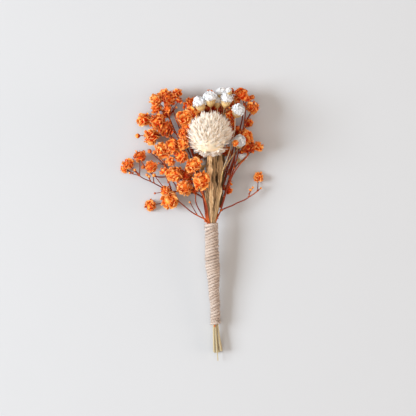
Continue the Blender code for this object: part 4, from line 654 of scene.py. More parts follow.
def turned(centre, facing, profile, tint, sides=10, mark=0.0, grown=1.0):
    """A closed solid of revolution round the facing direction. The profile's rows are height and radius.

    Grown is how far along from root to tip its end counts as, for its colour.
    """
    height, radius = np.asarray(profile, dtype=float).T
    first, second = across_directions(facing)
    angle = angles_round(sides)
    spoke = np.cos(angle)[:, None] * first + np.sin(angle)[:, None] * second
    rings = centre + height[:, None, None] * facing + radius[:, None, None] * spoke[None]
    along = np.linspace(0, grown, len(height))[None, :, None]
    return closed_skins(rings[None], along, np.cos(3 * angle), tint, mark)


def across_directions(facing):
    """Two directions square to facing. Turning from the first to the second goes as steps of a ring do."""
    helper = np.eye(3)[np.abs(facing).argmin()]
    first = unit(np.cross(facing, helper))
    return first, np.cross(first, facing)


def golden_spread(facing, count, start=0.0):
    """Directions away from an axis, each turned by the golden angle from the last."""
    first, second = across_directions(facing)
    around = start + np.arange(count) * GOLDEN_ANGLE
    return np.cos(around)[:, None] * first + np.sin(around)[:, None] * second


def rosette(random, centre, radius, facing, count, widest, closing, reach, dome, **shape):
    """Petals over a ball, by the golden angle from the middle out to the widest polar angle.

    A petal grows from 0.3 of the radius, bends at the dome's share of it and ends at its reach, nearer the
    middle by an angle from the closing range. Its face looks away from the ball's centre.
    """
    polar = np.arccos(1 - (1 - math.cos(widest)) * (np.arange(count) + 0.5) / count)
    spoke = golden_spread(facing, count, random.uniform(0, 6))

    def at(angle, distance):
        return centre + radius * distance * (np.sin(angle)[:, None] * spoke + np.cos(angle)[:, None] * facing)

    root = at(polar + 0.85, 0.3)
    bend = at(polar + 0.35, dome)
    tip = at(polar - random.uniform(*closing, count), random.uniform(*reach, (count, 1)))
    face = at(polar, 1.0) - centre + random.normal(0, 0.16 * radius, (count, 3))
    return blades(root, bend, tip, face, phase=random.uniform(0, 6, count), **shape)


# Pieces and finishes

def add_object(name, data):
    """An object at the origin for a mesh, a light or a camera, put in the scene."""
    made = bpy.data.objects.new(name, data)
    bpy.context.scene.collection.objects.link(made)
    return made


def add_piece(name, skins, finish, slot, *nodes):
    """Join skins into one mesh in metres, in the frame's box, that stands for solids and rides with them."""
    points = np.concatenate([skin.points for skin in skins]) * MM
    points = np.clip(points, np.array(cad_low), np.array(cad_high))
    starts = np.cumsum([0] + [len(skin.points) for skin in skins[:-1]])
    quads = np.concatenate([skin.quads + start for skin, start in zip(skins, starts)])
    corners = np.concatenate([skin.corners + start for skin, start in zip(skins, starts)])
    growth = np.concatenate([skin.growth for skin in skins])
    loops = np.concatenate((quads.ravel(), corners.ravel())).astype(np.int32)
    sizes = np.concatenate((np.full(len(quads), 4), np.full(len(corners), 3)))
    mesh = bpy.data.meshes.new(name)
    mesh.vertices.add(len(points))
    mesh.vertices.foreach_set("co", points.astype(np.float32).ravel())
    mesh.loops.add(len(loops))
    mesh.loops.foreach_set("vertex_index", loops)
    mesh.polygons.add(len(sizes))
    mesh.polygons.foreach_set("loop_start", (np.cumsum(sizes) - sizes).astype(np.int32))
    mesh.polygons.foreach_set("use_smooth", np.ones(len(sizes), dtype=bool))
    kept = mesh.attributes.new("growth", "FLOAT_COLOR", "POINT")
    kept.data.foreach_set("color", growth.astype(np.float32).ravel())
    mesh.update(calc_edges=True)
    mesh.set_sharp_from_angle(angle=math.radians(55))
    mesh.materials.append(finish)
    piece = add_object(name, mesh)
    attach(piece, "root")
    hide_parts(*nodes)


def fill_inputs(tree, node, inputs):
    """Give each input of a node its value, or join it to the socket that is given for it."""
    for key, value in inputs.items():
        if isinstance(value, bpy.types.NodeSocket):
            tree.links.new(value, node.inputs[key])
        else:
            node.inputs[key].default_value = value


def add_node(tree, kind, inputs=None, **values):
    """Add a shader node with its own values, and its inputs as values or sockets."""
    made = tree.nodes.new(kind)
    for key, value in values.items():
        setattr(made, key, value)
    fill_inputs(tree, made, inputs or {})
    return made


def new_finish(name):
    """A new material, its node tree and its shader."""
    finish = bpy.data.materials.new(name)
    finish.use_nodes = True
    return finish, finish.node_tree, finish.node_tree.nodes["Principled BSDF"]


def calculate(tree, operation, *values):
    """The result of a math node on numbers or sockets."""
    return add_node(tree, "ShaderNodeMath", dict(enumerate(values)), operation=operation).outputs[0]


def colour_ramp(tree, place, stops):
    """A colour ramp read at a place. Stops are a position and a linear colour."""
    made = add_node(tree, "ShaderNodeValToRGB", {"Fac": place})
    elements = made.color_ramp.elements
    while len(elements) < len(stops):
        elements.new(1.0)
    for element, (position, colour) in zip(elements, stops):
        element.position = position
        element.color = (*colour, 1.0)
    return made.outputs["Color"]


def mix_colours(tree, blend, share, first, second):
    """Mix two colours by a share, each of them a colour or a socket."""
    def value(colour):
        return colour if isinstance(colour, bpy.types.NodeSocket) else (*colour, 1.0)

    return add_node(tree, "ShaderNodeMix", {0: share, MIX_FIRST: value(first), MIX_SECOND: value(second)},
                    data_type="RGBA", blend_type=blend).outputs[MIX_RESULT]


def spread_noise(tree, place, scale, detail, roughness=0.5):
    """Noise read at a place, stretched to the whole range from 0 to 1."""
    noise = add_node(tree, "ShaderNodeTexNoise", {"Vector": place, "Scale": scale, "Detail": detail,
                                                  "Roughness": roughness})
    spread = add_node(tree, "ShaderNodeMapRange", {"Value": noise.outputs["Fac"], "From Min": 0.3,
                                                   "From Max": 0.7})
    return spread.outputs["Result"]


def growth_parts(tree):
    """The sockets of what each point of a piece keeps: share along, place across, tint and mark."""
    growth = add_node(tree, "ShaderNodeAttribute", attribute_name="growth")
    parts = add_node(tree, "ShaderNodeSeparateXYZ", {"Vector": growth.outputs["Vector"]})
    return (*parts.outputs, growth.outputs["Alpha"])


def mottle(tree, inputs):
    """Soft blotches in the object's own space."""
    place = add_node(tree, "ShaderNodeTexCoord").outputs["Object"]
    return spread_noise(tree, place, inputs["Scale"], 3.0, 0.6)


def grain(tree, inputs):
    """Streaks that follow a blade or stem. Each tint reads them in another place of the noise."""
    along, across, tint, _ = growth_parts(tree)
    tint_step = 37.0
    place = add_node(tree, "ShaderNodeCombineXYZ", {
        "X": calculate(tree, "MULTIPLY", along, inputs["Lengthwise"]),
        "Y": calculate(tree, "MULTIPLY", across, inputs["Crosswise"]),
        "Z": calculate(tree, "MULTIPLY", tint, tint_step)})
    return spread_noise(tree, place.outputs[0], 1.0, 2.0)


def shared_effect(tree, fill, name, **inputs):
    """The result of a node group that a function fills when it is first asked for."""
    group = bpy.data.node_groups.get(name)
    if group is None:
        group = bpy.data.node_groups.new(name, "ShaderNodeTree")
        for key in inputs:
            group.interface.new_socket(key, in_out="INPUT", socket_type="NodeSocketFloat")
        group.interface.new_socket("Result", in_out="OUTPUT", socket_type="NodeSocketFloat")
        source, sink = group.nodes.new("NodeGroupInput"), group.nodes.new("NodeGroupOutput")
        group.links.new(fill(group, source.outputs), sink.inputs["Result"])
    return add_node(tree, "ShaderNodeGroup", inputs, node_tree=group).outputs["Result"]


def dry_finish(name, stops, tints, accent=(0.2, 0.1, 0.05), mottle_scale=900.0, lengthwise=3.0, crosswise=6.0,
               streak=0.25, relief=0.3, roughness=(0.6, 0.9), sheen=0.0, glow=0.0,
               glow_colour=(1.0, 0.5, 0.25)):
    """A dry plant finish.

    The stops give the colour from root to tip, moved a little by the mottle. The tints give what each blade
    or stem is multiplied by. The mark mixes in an accent colour, for knuckles and for painted shade in
    grooves and hollows. The grain darkens in streaks and gives relief. Glow is the share of light that passes
    under the surface, in its own colour.
    """
    finish, tree, shader = new_finish(name)
    along, _, tint, mark = growth_parts(tree)
    blotch = shared_effect(tree, mottle, "Dry mottle", Scale=mottle_scale)
    fibre = shared_effect(tree, grain, "Fibre grain", Lengthwise=lengthwise, Crosswise=crosswise)
    shift, streak_colour = 0.24, (0.5, 0.38, 0.28)
    moved = calculate(tree, "SUBTRACT", calculate(tree, "MULTIPLY_ADD", blotch, shift, along), shift / 2)
    colour = colour_ramp(tree, moved, stops)
    colour = mix_colours(tree, "MULTIPLY", 1.0, colour, colour_ramp(tree, tint, tints))
    colour = mix_colours(tree, "MIX", mark, colour, accent)
    colour = mix_colours(tree, "MULTIPLY", calculate(tree, "MULTIPLY", fibre, streak), colour, streak_colour)
    rough = add_node(tree, "ShaderNodeMapRange", {"Value": fibre, "To Min": roughness[0],
                                                  "To Max": roughness[1]})
    bump = add_node(tree, "ShaderNodeBump", {"Height": fibre, "Strength": relief, "Distance": 0.2 * MM})
    fill_inputs(tree, shader, {
        "Base Color": colour, "Roughness": rough.outputs["Result"], "Normal": bump.outputs["Normal"],
        "Specular IOR Level": 0.2, "Sheen Weight": sheen, "Subsurface Weight": glow,
        "Subsurface Radius": glow_colour, "Subsurface Scale": MM})
    return finish


def shaded(colour, share):
    """A colour multiplied by a share, or by a share for each of its parts."""
    return tuple(np.clip(np.array(colour) * share, 0.0, 1.0))


def binding_centre(y):
    """The middle of the binding at places along it, as points."""
    y = np.asarray(y, dtype=float)
    share = (y - BINDING_BOTTOM) / (BINDING_TOP - BINDING_BOTTOM)
    height = BINDING_BOTTOM_HEIGHT + share * (BINDING_TOP_HEIGHT - BINDING_BOTTOM_HEIGHT)
    return np.stack((np.interp(y, BINDING_OUTLINE[:, 0], BINDING_OUTLINE[:, 1]), y, height), axis=-1)


def binding_radius(y):
    """The outer radius of the binding at places along it."""
    return np.interp(y, BINDING_OUTLINE[:, 0], BINDING_OUTLINE[:, 2])


def in_binding(degrees, ring, stations):
    """A stem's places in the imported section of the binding."""
    return binding_centre(stations) + ring * spoke_at(math.radians(degrees))


# Steps, one for each group of like pieces

class BouquetTwine(bpy.types.Operator):
    """Wind the twine round the stems, over a sleeve of painted shade, with loose fibres on it"""
    bl_idname = "bouquet.twine"
    bl_label = "Twine binding"

    def execute(self, context):
        settings = context.scene.bouquet_twine
        finish = dry_finish(
            "twine_yarn", ((0.0, settings.light), (1.0, shaded(settings.light, 0.94))),
            ((0.0, (0.74, 0.66, 0.6)), (0.5, (0.94, 0.91, 0.88)), (1.0, (1.0, 1.0, 1.0))),
            accent=settings.dark, mottle_scale=1400.0, lengthwise=2600.0, crosswise=3.0, relief=0.5,
            roughness=(0.8, 1.0), sheen=0.2)
        path, outward = self.winding(settings)
        skins = [self.yarn(settings, path, outward), self.sleeve(settings), self.tuck()]
        add_piece("twine_windings", skins, finish, "twine", "twine_binding")
        add_piece("twine_fibres", [self.fibres(settings, path, outward)], finish, "twine", "twine_binding")
        return {"FINISHED"}

    def winding(self, settings):
        """The middle line of the twine, a helix round the binding's centre line, and its outward directions.

        Each turn leans, so that it rises over its width. The pitch wanders a little between the two ends,
        and the lean is less at the loose turn. The last turn stands off, and so do the uneven ones.
        """
        turn_points, ends_length, loose_length, last_length = 44, 4.0, 1.2, 0.9
        half_width, half_height = settings.half_width / MM, settings.half_height / MM
        top, bottom = BINDING_TOP - half_width, BINDING_BOTTOM + 0.5 * half_width
        turns = (top - bottom) / (settings.pitch / MM)
        angle = np.linspace(0.0, 2 * math.pi * turns, int(turns * turn_points))
        y = top - (top - bottom) * angle / angle[-1]
        ends = np.clip(np.minimum(top - y, y - bottom) / ends_length, 0.0, 1.0)
        y = y + ends * (0.05 * np.sin(0.31 * angle) + 0.14 * np.sin(0.113 * angle + 2.0))
        y = y + ends * 0.11 * np.sin(3.7 * angle) * np.sin(0.57 * angle)
        loose = np.exp(-((y - LOOSE_TURN) / loose_length) ** 2)
        last = np.exp(-((y - bottom) / last_length) ** 2)
        uneven = 0.14 * np.sin(0.71 * angle) * np.sin(0.193 * angle + 1.0) + 0.07 * np.sin(2.3 * angle)
        radius = binding_radius(y) - half_height + uneven + 0.18 * last
        outward = spoke_at(angle)
        path = binding_centre(y) + radius[:, None] * outward
        lean = settings.lean * ends * (1.0 + 0.35 * np.sin(0.16 * y + 1.0)) * (1 - 0.3 * loose)
        path[:, 1] += lean * radius * np.cos(angle)
        return path, outward

    def yarn(self, settings, path, outward):
        """The twine: a flat oval section whose three plies turn as it goes, so it looks twisted.

        Painted shade darkens it between the plies, at its two edges where the turns meet, at the loose turn
        and in dark spots on the side that lies away from the window.
        """
        sides = 12
        walked = np.concatenate(([0.0], np.cumsum(np.linalg.norm(np.diff(path, axis=0), axis=1))))
        angle = angles_round(sides)
        ply = np.cos(3 * angle + (2 * math.pi * MM / settings.ply_length) * walked[:, None] * 3)
        uneven = 1.0 + 0.12 * np.sin(0.33 * walked)[:, None] * np.sin(0.071 * walked)[:, None]
        tint = 0.66 + 0.34 * np.sin(0.21 * walked + 3.0 * np.sin(0.031 * walked))
        # Painted shade, in the colour of the grooves: at the loose turn, at the edges where the turns meet,
        # in the troughs between the plies and in spots on the side away from the window.
        loose_turn_shade = np.exp(-((path[:, 0] - LOOSE_X) / 1.3) ** 2 - ((path[:, 1] - LOOSE_TURN) / 0.6) ** 2)[:, None]
        groove_shade = (0.75 + 0.2 * np.sin(0.9 * walked) * np.sin(0.23 * walked))[:, None] + 0.6 * loose_turn_shade
        groove_shade = groove_shade * np.clip(2.8 * np.abs(np.cos(angle)) - 1.8, 0.0, 1.0)
        shade_spots = 0.5 * np.clip(path[:, 0] - binding_centre(path[:, 1])[:, 0], 0.0, 1.0)
        shade_spots = shade_spots * np.clip(2.0 * np.sin(1.9 * walked) * np.sin(0.37 * walked), 0.0, 1.0)
        mark = 0.55 * (groove_shade + shade_spots[:, None]) - 0.42 * ply
        return tube(path, settings.half_width / MM, settings.half_height / MM, tint, sides=sides, up=outward,
                    swell=uneven * (1.0 + 0.08 * ply), mark=np.clip(mark, 0.0, 0.9))

    def sleeve(self, settings):
        """Painted shade inside, between the turns: a tube all in the colour of the grooves."""
        y = np.linspace(BINDING_TOP - 0.5, BINDING_BOTTOM + 0.5, 40)
        radius = binding_radius(y) - 1.5 * settings.half_height / MM
        return tube(binding_centre(y), radius, radius, 0.0, sides=20, mark=1.0)

    def tuck(self):
        """The end of the twine, which crosses the last turns and is pushed under them."""
        sides, ply_turn = 10, 0.375
        path = smooth_path(TWINE_END, 0.25)
        ply = np.cos(3 * angles_round(sides) + ply_turn * np.arange(len(path))[:, None])
        # Painted shade darkens the troughs between the plies.
        return tube(path, 0.45, 0.4, 0.8, sides=sides, swell=1.0 + 0.15 * ply,
                    mark=np.clip(-0.5 * ply, 0.0, 0.5))

    def fibres(self, settings, path, outward):
        """Loose fibres: slim blades that leave the twine, mostly along it, and bend back towards it."""
        random = np.random.default_rng(TWINE_SEED)
        count = settings.fibres
        half_width, thickness = 0.04, 0.03
        station = random.integers(2, len(path) - 3, count)
        out = outward[station]
        tangent = unit(path[station + 1] - path[station])
        side = np.cross(tangent, out)
        root = path[station] + out * 0.5 + side * random.uniform(-0.45, 0.45, (count, 1))
        length = random.uniform(0.7, 2.2, (count, 1))
        onward = tangent * random.choice((-1.0, 1.0), (count, 1))
        heading = unit(onward + side * random.normal(0, 1.1, (count, 1)))
        bend = root + heading * length * 0.5 + out * random.uniform(0.05, 0.4, (count, 1))
        tip = root + heading * length + out * random.uniform(-0.1, 0.2, (count, 1))
        return blades(root, bend, tip, out, half_width, FIBRE_OUTLINE, thickness,
                      random.uniform(0.2, 1.0, count), steps=3)


class BouquetDryStems(bpy.types.Operator):
    """Grow the tan winged stems, with ribs, hairs and hollow cut ends"""
    bl_idname = "bouquet.dry_stems"
    bl_label = "Dry stems"

    def execute(self, context):
        settings = context.scene.bouquet_stems
        straw, light = settings.straw, settings.light
        finish = dry_finish(
            "dry_straw", ((0.0, straw), (0.42, shaded(straw, (0.92, 0.86, 0.74))),
                          (0.55, light), (1.0, shaded(light, (0.95, 0.88, 0.78)))),
            ((0.0, (0.16, 0.12, 0.09)), (0.3, (0.5, 0.46, 0.42)), (0.6, (0.84, 0.82, 0.8)),
             (1.0, (1.12, 1.06, 1.0))),
            accent=settings.dark, mottle_scale=500.0, lengthwise=9.0, crosswise=7.0, streak=0.6, relief=0.6,
            roughness=(0.65, 0.9))
        for seed, (name, stem) in enumerate(DRY_STEMS.items()):
            random = np.random.default_rng(STEM_SEED + seed)
            add_piece(name + "_straw", self.stem(settings, random, *stem), finish, "dry_stem", name)
        return {"FINISHED"}

    def stem(self, settings, random, degrees, ring, way, half_width, end, tint):
        """One stem: its core, its wings above the twine, and its hairs."""
        spread = STUB_RING if ring else 0.0
        foot = (np.array((STUB_CENTRE_X, end, STUB_CENTRE_Z))
                + spread * spoke_at(math.radians(degrees) + STUB_TWIST))
        path = smooth_path([foot, *in_binding(degrees, ring, STUB_STATIONS), *way], 0.8)
        free = path[path[:, 1] > 0.6]
        skins = [self.core(settings, random, path, ring, end, tint)]
        skins.extend(self.wings(settings, random, free, degrees, half_width, tint))
        skins.append(self.hairs(settings, random, free, half_width))
        return skins

    def core(self, settings, random, path, ring, end, tint):
        """The ribbed round core, with a hole in its cut end. The middle stem is the longest and ends thin."""
        sides, ribs_round, thin_end, thin_radius = 14, 7, -64.0, 0.24
        foot_size = 1.05 if ring else 0.62
        size = np.interp(path[:, 1], (end, end + 6.0, -50.0, 40.0), (foot_size, 1.12, 1.1, 0.9))
        radius = size * settings.core_radius / MM
        if ring == 0:
            radius = np.where(path[:, 1] < thin_end, thin_radius, radius)
        # Painted shade: the mark darkens the troughs between the ribs and fills the hole in the cut end.
        ribs = np.cos(ribs_round * angles_round(sides) + 0.02 * np.arange(len(path))[:, None])
        grown = (path[:, 1] - end) / (37.0 - end)
        tints = np.where(path[:, 1] < -20.0, random.uniform(0.65, 1.0), tint)
        return tube(path, radius, radius, tints, sides=sides, swell=1.0 + 0.07 * ribs, along=grown,
                    mark=np.clip(-0.3 * ribs, 0.0, 1.0), bore=0.55)

    def wings(self, settings, random, free, degrees, half_width, tint):
        """Three papery wings, each slimmer than the last: thin, twisted, ragged and furrowed flat tubes.

        All but the first sway aside, and all pinch in and darken at the dry node.
        """
        sides = 14
        share = np.linspace(0.0, 1.0, len(free))
        node = TOP_STEM_NODE if degrees in TOP_STEMS else random.uniform(0.35, 0.65)
        pinch = 1.0 - 0.5 * np.exp(-((share - node) / 0.06) ** 2)
        across = np.cos(angles_round(sides))
        for number, size in enumerate((1.0, 0.75, 0.5)):
            twist = random.uniform(-0.3, 0.3) + number * 0.7 + random.uniform(-0.9, 0.9) * share
            sway = np.sin(math.pi * share) * np.sin(5 * share + random.uniform(0, 6))
            aside = (0.5 * number * half_width * sway)[:, None] * np.array((1.0, 0.0, 0.2))
            up = np.stack((np.sin(twist), np.zeros(len(free)), np.cos(twist)), axis=-1)
            ragged = 1.0 + 0.2 * np.sin(share * random.uniform(16, 30) + random.uniform(0, 6))
            swollen = 0.55 + np.sin(math.pi * np.clip(share, 0.02, 1.0) ** 0.8 * 0.75)
            furrow = np.cos(7.5 * across + 1.2 * np.sin(9 * share[:, None]) + random.uniform(0, 6))
            flecks = np.sin(73 * share[:, None] + 4 * across) * np.sin(23 * share[:, None] + 2 * number)
            marks = 0.9 * furrow - 0.15 + 0.45 * flecks + 1.8 * (1.0 - pinch[:, None])
            yield tube(free + aside, half_width * size * swollen * pinch * ragged,
                       settings.wing_thickness / MM, np.clip(tint + random.uniform(-0.2, 0.2), 0, 1),
                       sides=sides, up=up, cup=random.uniform(-0.35, 0.35), along=0.5 + 0.5 * share,
                       mark=np.clip(marks, 0.0, 0.95))

    def hairs(self, settings, random, path, half_width):
        """Short hairs: slim three-sided blades that stand off the stem and lean towards the flowers."""
        count = settings.hairs
        hair_width, thickness = 0.025, 0.02
        station = random.integers(2, len(path) - 2, count)
        outward = spoke_at(random.uniform(0, 2 * math.pi, count))
        root = path[station] + outward * half_width * random.uniform(0.3, 0.8, (count, 1))
        lean = NORTH * random.uniform(0.1, 0.7, (count, 1))
        tip = root + (outward * random.uniform(0.2, 0.6, (count, 1)) + lean)
        bend = (root + tip) / 2 + outward * 0.08
        return blades(root, bend, tip, np.cross(outward, NORTH), hair_width, HAIR_OUTLINE, thickness,
                      random.uniform(0.6, 1.0, count), steps=3)


class BouquetGlobe(bpy.types.Operator):
    """Grow the cream globe head with its pointed papery bracts"""
    bl_idname = "bouquet.globe"
    bl_label = "Globe head"

    def execute(self, context):
        settings = context.scene.bouquet_globe
        finish = dry_finish(
            "globe_paper", ((0.0, settings.warm), (0.4, shaded(settings.light, (0.95, 0.86, 0.74))),
                            (0.7, shaded(settings.light, (0.98, 0.95, 0.9))), (1.0, settings.light)),
            ((0.0, (0.84, 0.74, 0.62)), (0.5, (1.0, 0.95, 0.88)), (1.0, (1.0, 1.0, 0.98))),
            mottle_scale=420.0, lengthwise=1.6, crosswise=5.0, streak=0.06, relief=0.15,
            roughness=(0.5, 0.75), glow=0.8, glow_colour=(1.0, 0.9, 0.8))
        random = np.random.default_rng(GLOBE_SEED)
        skins = [self.core(), self.bracts(settings, random), self.bristles(settings, random),
                 self.rim(settings, random)]
        add_piece("globe_head_bracts", skins, finish, "globe_bracts", "globe_head")
        return {"FINISHED"}

    def directions(self):
        """The globe's axis from base to tip, the direction across it and the one over it."""
        axis = np.array((0.0, math.cos(GLOBE_TILT), math.sin(GLOBE_TILT)))
        across = np.array((1.0, 0.0, 0.0))
        return axis, across, np.cross(across, axis)

    def place(self, ball):
        """Points of a ball of radius one, given along the globe's own directions, as points on the globe."""
        axis, across, lift = self.directions()
        wide, long = GLOBE_REACH
        points = (GLOBE_CENTRE + wide * (ball[:, :1] * across + ball[:, 1:2] * lift)
                  + long * ball[:, 2:] * axis)
        points[:, 2] = np.minimum(points[:, 2], GLOBE_TOP)
        return points

    def core(self):
        """The warm body that the bracts grow from: an ellipsoid turned round the axis."""
        polar = np.linspace(0.02, math.pi - 0.02, 18)
        wide, long = GLOBE_REACH
        profile = GLOBE_BODY * np.stack((-long * np.cos(polar), wide * np.sin(polar)), axis=-1)
        return turned(GLOBE_CENTRE, self.directions()[0], profile, 0.7, sides=28)

    def grow(self, settings, random, polar, around, slant, reach, width, outline, tint, **shape):
        """Bracts from the core to their reach.

        On a ball of radius one, the way is out times the cosine plus tipwards times the sine of the slant. A
        bract without a slant points away from the focus, which is on the upper face, near the base. The
        length is what the quadratic formula gives for the way from the root to the reach.
        """
        flat = np.stack((np.cos(around), np.sin(around)), axis=-1)
        out = np.concatenate((flat * np.sin(polar)[:, None], np.cos(polar)[:, None]), axis=1)
        tipwards = np.concatenate((-flat * np.cos(polar)[:, None], np.sin(polar)[:, None]), axis=1)
        if slant is None:
            way = unit(out - GLOBE_FOCUS)
        else:
            way = np.cos(slant)[:, None] * out + np.sin(slant)[:, None] * tipwards
        way = unit(way + random.normal(0, 0.1, out.shape))
        root = GLOBE_ROOT * out
        part = (root * way).sum(axis=1)
        length = -part + np.sqrt(part ** 2 + reach ** 2 - GLOBE_ROOT ** 2)
        tip = root + length[:, None] * way
        bend = root + 0.5 * length[:, None] * way + 0.035 * out
        face = self.place(out) - GLOBE_CENTRE + random.normal(0, 2.0, out.shape)
        return blades(self.place(root), self.place(bend), self.place(tip), face, width, outline,
                      settings.thickness / MM, tint, **shape)

    def bracts(self, settings, random):
        """Pointed bracts by the golden angle from tip to base, in painted shade at the upper right."""
        count = settings.bracts
        patch_polar, patch_around, patch_size = 0.8, 0.9, 0.35
        polar = np.arccos(1 - 1.92 * (np.arange(count) + 0.5) / count)
        around = np.arange(count) * GOLDEN_ANGLE
        band = np.exp(-((polar - patch_polar) / patch_size) ** 2)
        # Painted shade at the upper right, on the side away from the window, lowers the tint there.
        shade_patch = band * np.exp(-(np.sin((around - patch_around) / 2) / 0.3) ** 2)
        tint = random.uniform(0.4, 1.0, count) * (1 - 0.35 * shade_patch)
        shorter = 1 - 0.07 * np.exp(-(polar / patch_size) ** 2) - 0.09 * band
        return self.grow(settings, random, polar, around, None, shorter * random.uniform(0.9, 1.13, count),
                         settings.half_width / MM * random.uniform(0.7, 1.15, count), BRACT_OUTLINE, tint,
                         cup=random.uniform(-0.3, 0.3, count))

    def bristles(self, settings, random):
        """Slim loose bracts that stand a little further out, most of them on the right."""
        count = settings.bristles
        polar = np.arccos(1 - 1.5 * random.uniform(0.02, 1.0, count))
        around = random.normal(0.1, 1.2, count)
        return self.grow(settings, random, polar, around, None, random.uniform(0.98, 1.08, count),
                         random.uniform(0.14, 0.26, count), BRISTLE_OUTLINE, random.uniform(0.3, 1.0, count))

    def rim(self, settings, random):
        """The ruffled rim at the base: short, wide, whiter bracts that stand out and curl back."""
        count = settings.rim
        polar = np.radians(random.uniform(138, 162, count))
        around = np.arange(count) * GOLDEN_ANGLE
        return self.grow(settings, random, polar, around, np.radians(random.uniform(5, 40, count)),
                         random.uniform(0.9, 1.0, count),
                         settings.half_width / MM * random.uniform(0.9, 1.4, count), RIM_OUTLINE,
                         random.uniform(0.8, 1.0, count), cup=0.15, ruffle=0.08,
                         phase=random.uniform(0, 6, count))


class BouquetEverlastings(bpy.types.Operator):
    """Grow the white everlasting heads, their golden cups and stalks"""
    bl_idname = "bouquet.everlastings"
    bl_label = "Everlastings"

    def execute(self, context):
        settings = context.scene.bouquet_everlastings
        white = dry_finish(
            "everlasting_paper", ((0.0, shaded(settings.white, (0.96, 0.93, 0.88))),
                                  (0.3, shaded(settings.white, 0.97)), (1.0, settings.white)),
            ((0.0, (0.94, 0.94, 0.96)), (1.0, (1.0, 1.0, 1.0))), mottle_scale=700.0, lengthwise=1.5,
            streak=0.08, roughness=(0.4, 0.65), glow=0.3, glow_colour=(1.0, 0.95, 0.9))
        golden = dry_finish(
            "everlasting_gold", ((0.0, shaded(settings.golden, (0.55, 0.38, 0.24))),
                                 (0.55, settings.golden), (1.0, shaded(settings.golden, (1.1, 1.2, 1.6)))),
            ((0.0, (0.34, 0.3, 0.3)), (0.3, (0.7, 0.68, 0.78)), (0.6, (1.0, 1.0, 1.0)),
             (1.0, (0.92, 0.96, 1.4))),
            accent=shaded(settings.golden, 0.5), mottle_scale=600.0, lengthwise=2.0, streak=0.4,
            relief=0.5, roughness=(0.5, 0.75), glow=0.15, glow_colour=(1.0, 0.6, 0.25))
        for number, (centre, radius, facing) in EVERLASTINGS.items():
            random = np.random.default_rng(HEAD_SEED + number)
            name = f"everlasting_head_{number}"
            skins = self.head(settings, random, np.array(centre), 1.06 * radius, unit(facing))
            add_piece(name + "_bracts", skins, white, "white_bracts", name)
        for seed, (name, stem) in enumerate(EVERLASTING_STEMS.items()):
            random = np.random.default_rng(STALK_SEED + seed)
            add_piece(name + "_stalks", self.stalks(settings, random, *stem), golden, "golden_stalk", name)
        return {"FINISHED"}

    def head(self, settings, random, centre, radius, facing):
        """One white head: a closed rosette of rounded bracts, and an open one of ruffled bracts round it."""
        count = settings.bracts
        same = {"outline": WHITE_OUTLINE, "thickness": settings.thickness / MM}
        inner = rosette(random, centre + 0.1 * radius * facing, 0.8 * radius, facing, count // 2, 1.2,
                        (0.2, 0.5), (0.95, 1.1), 1.0, half_width=0.26 * radius,
                        tint=random.uniform(0, 1, count // 2), cup=-0.15, ruffle=0.03, **same)
        outer = rosette(random, centre, radius, facing, count, 1.6, (-0.1, 0.35), (0.94, 1.1), 1.0,
                        half_width=radius * random.uniform(0.24, 0.34, count),
                        tint=random.uniform(0, 1, count), cup=random.uniform(-0.1, 0.3, count),
                        ruffle=random.uniform(0.02, 0.1, count), **same)
        return [turned(centre, facing, radius * np.array(WHITE_PROFILE), 0.8, sides=14), inner, outer]

    def cup(self, settings, random, centre, radius, facing):
        """The golden cup under a head: a cone with pointed scales that reach the white bracts."""
        yield turned(centre, facing, radius * np.array(CUP_PROFILE), 0.5, sides=14)
        count = settings.scales
        share = (np.arange(count) + 0.5) / count
        spoke = golden_spread(facing, count)
        foot = -1.5 + 0.95 * share
        top = foot + 0.62
        root = centre + radius * ((0.1 + 0.6 * share)[:, None] * spoke + foot[:, None] * facing)
        tip = centre + radius * ((0.54 + 0.48 * share ** 0.6)[:, None] * spoke + top[:, None] * facing)
        bend = (root + tip) / 2 + radius * 0.13 * spoke
        # The scales grow browner and darker towards the stalk: partly their own colour and partly painted
        # shade.
        tint = np.clip(0.9 * share + random.normal(0, 0.2, count), 0.0, 1.0)
        yield blades(root, bend, tip, spoke, radius * 0.17, CUP_SCALE_OUTLINE, 0.04, tint, cup=-0.3)

    def stalks(self, settings, random, degrees, way, tone, heads):
        """The cups, each on a ribbed stalk from the binding or the main stem. Side stalks are browner."""
        sides = 8
        main = [*in_binding(degrees, OUTER_RING, THIN_STEM_STATIONS), *way]
        radius = settings.stalk_radius / MM
        ribs = np.cos(4 * angles_round(sides))
        skins = []
        for number, branch in heads.items():
            centre, size, facing = EVERLASTINGS[number]
            centre, facing = np.array(centre), unit(facing)
            foot = centre - facing * 1.5 * size
            path = smooth_path([*(branch or main), foot - facing * 0.9, foot], 0.7)
            thick = radius * np.linspace(1.0, 0.8, len(path))
            tints = tone * np.clip((path[:, 1] - 18.0) / 12.0, 0.12, 0.25 if branch else 1.0)
            skins.append(tube(path, thick, thick, tints, sides=sides, swell=1.0 + 0.08 * ribs))
            skins.extend(self.cup(settings, random, centre, size, facing))
        return skins


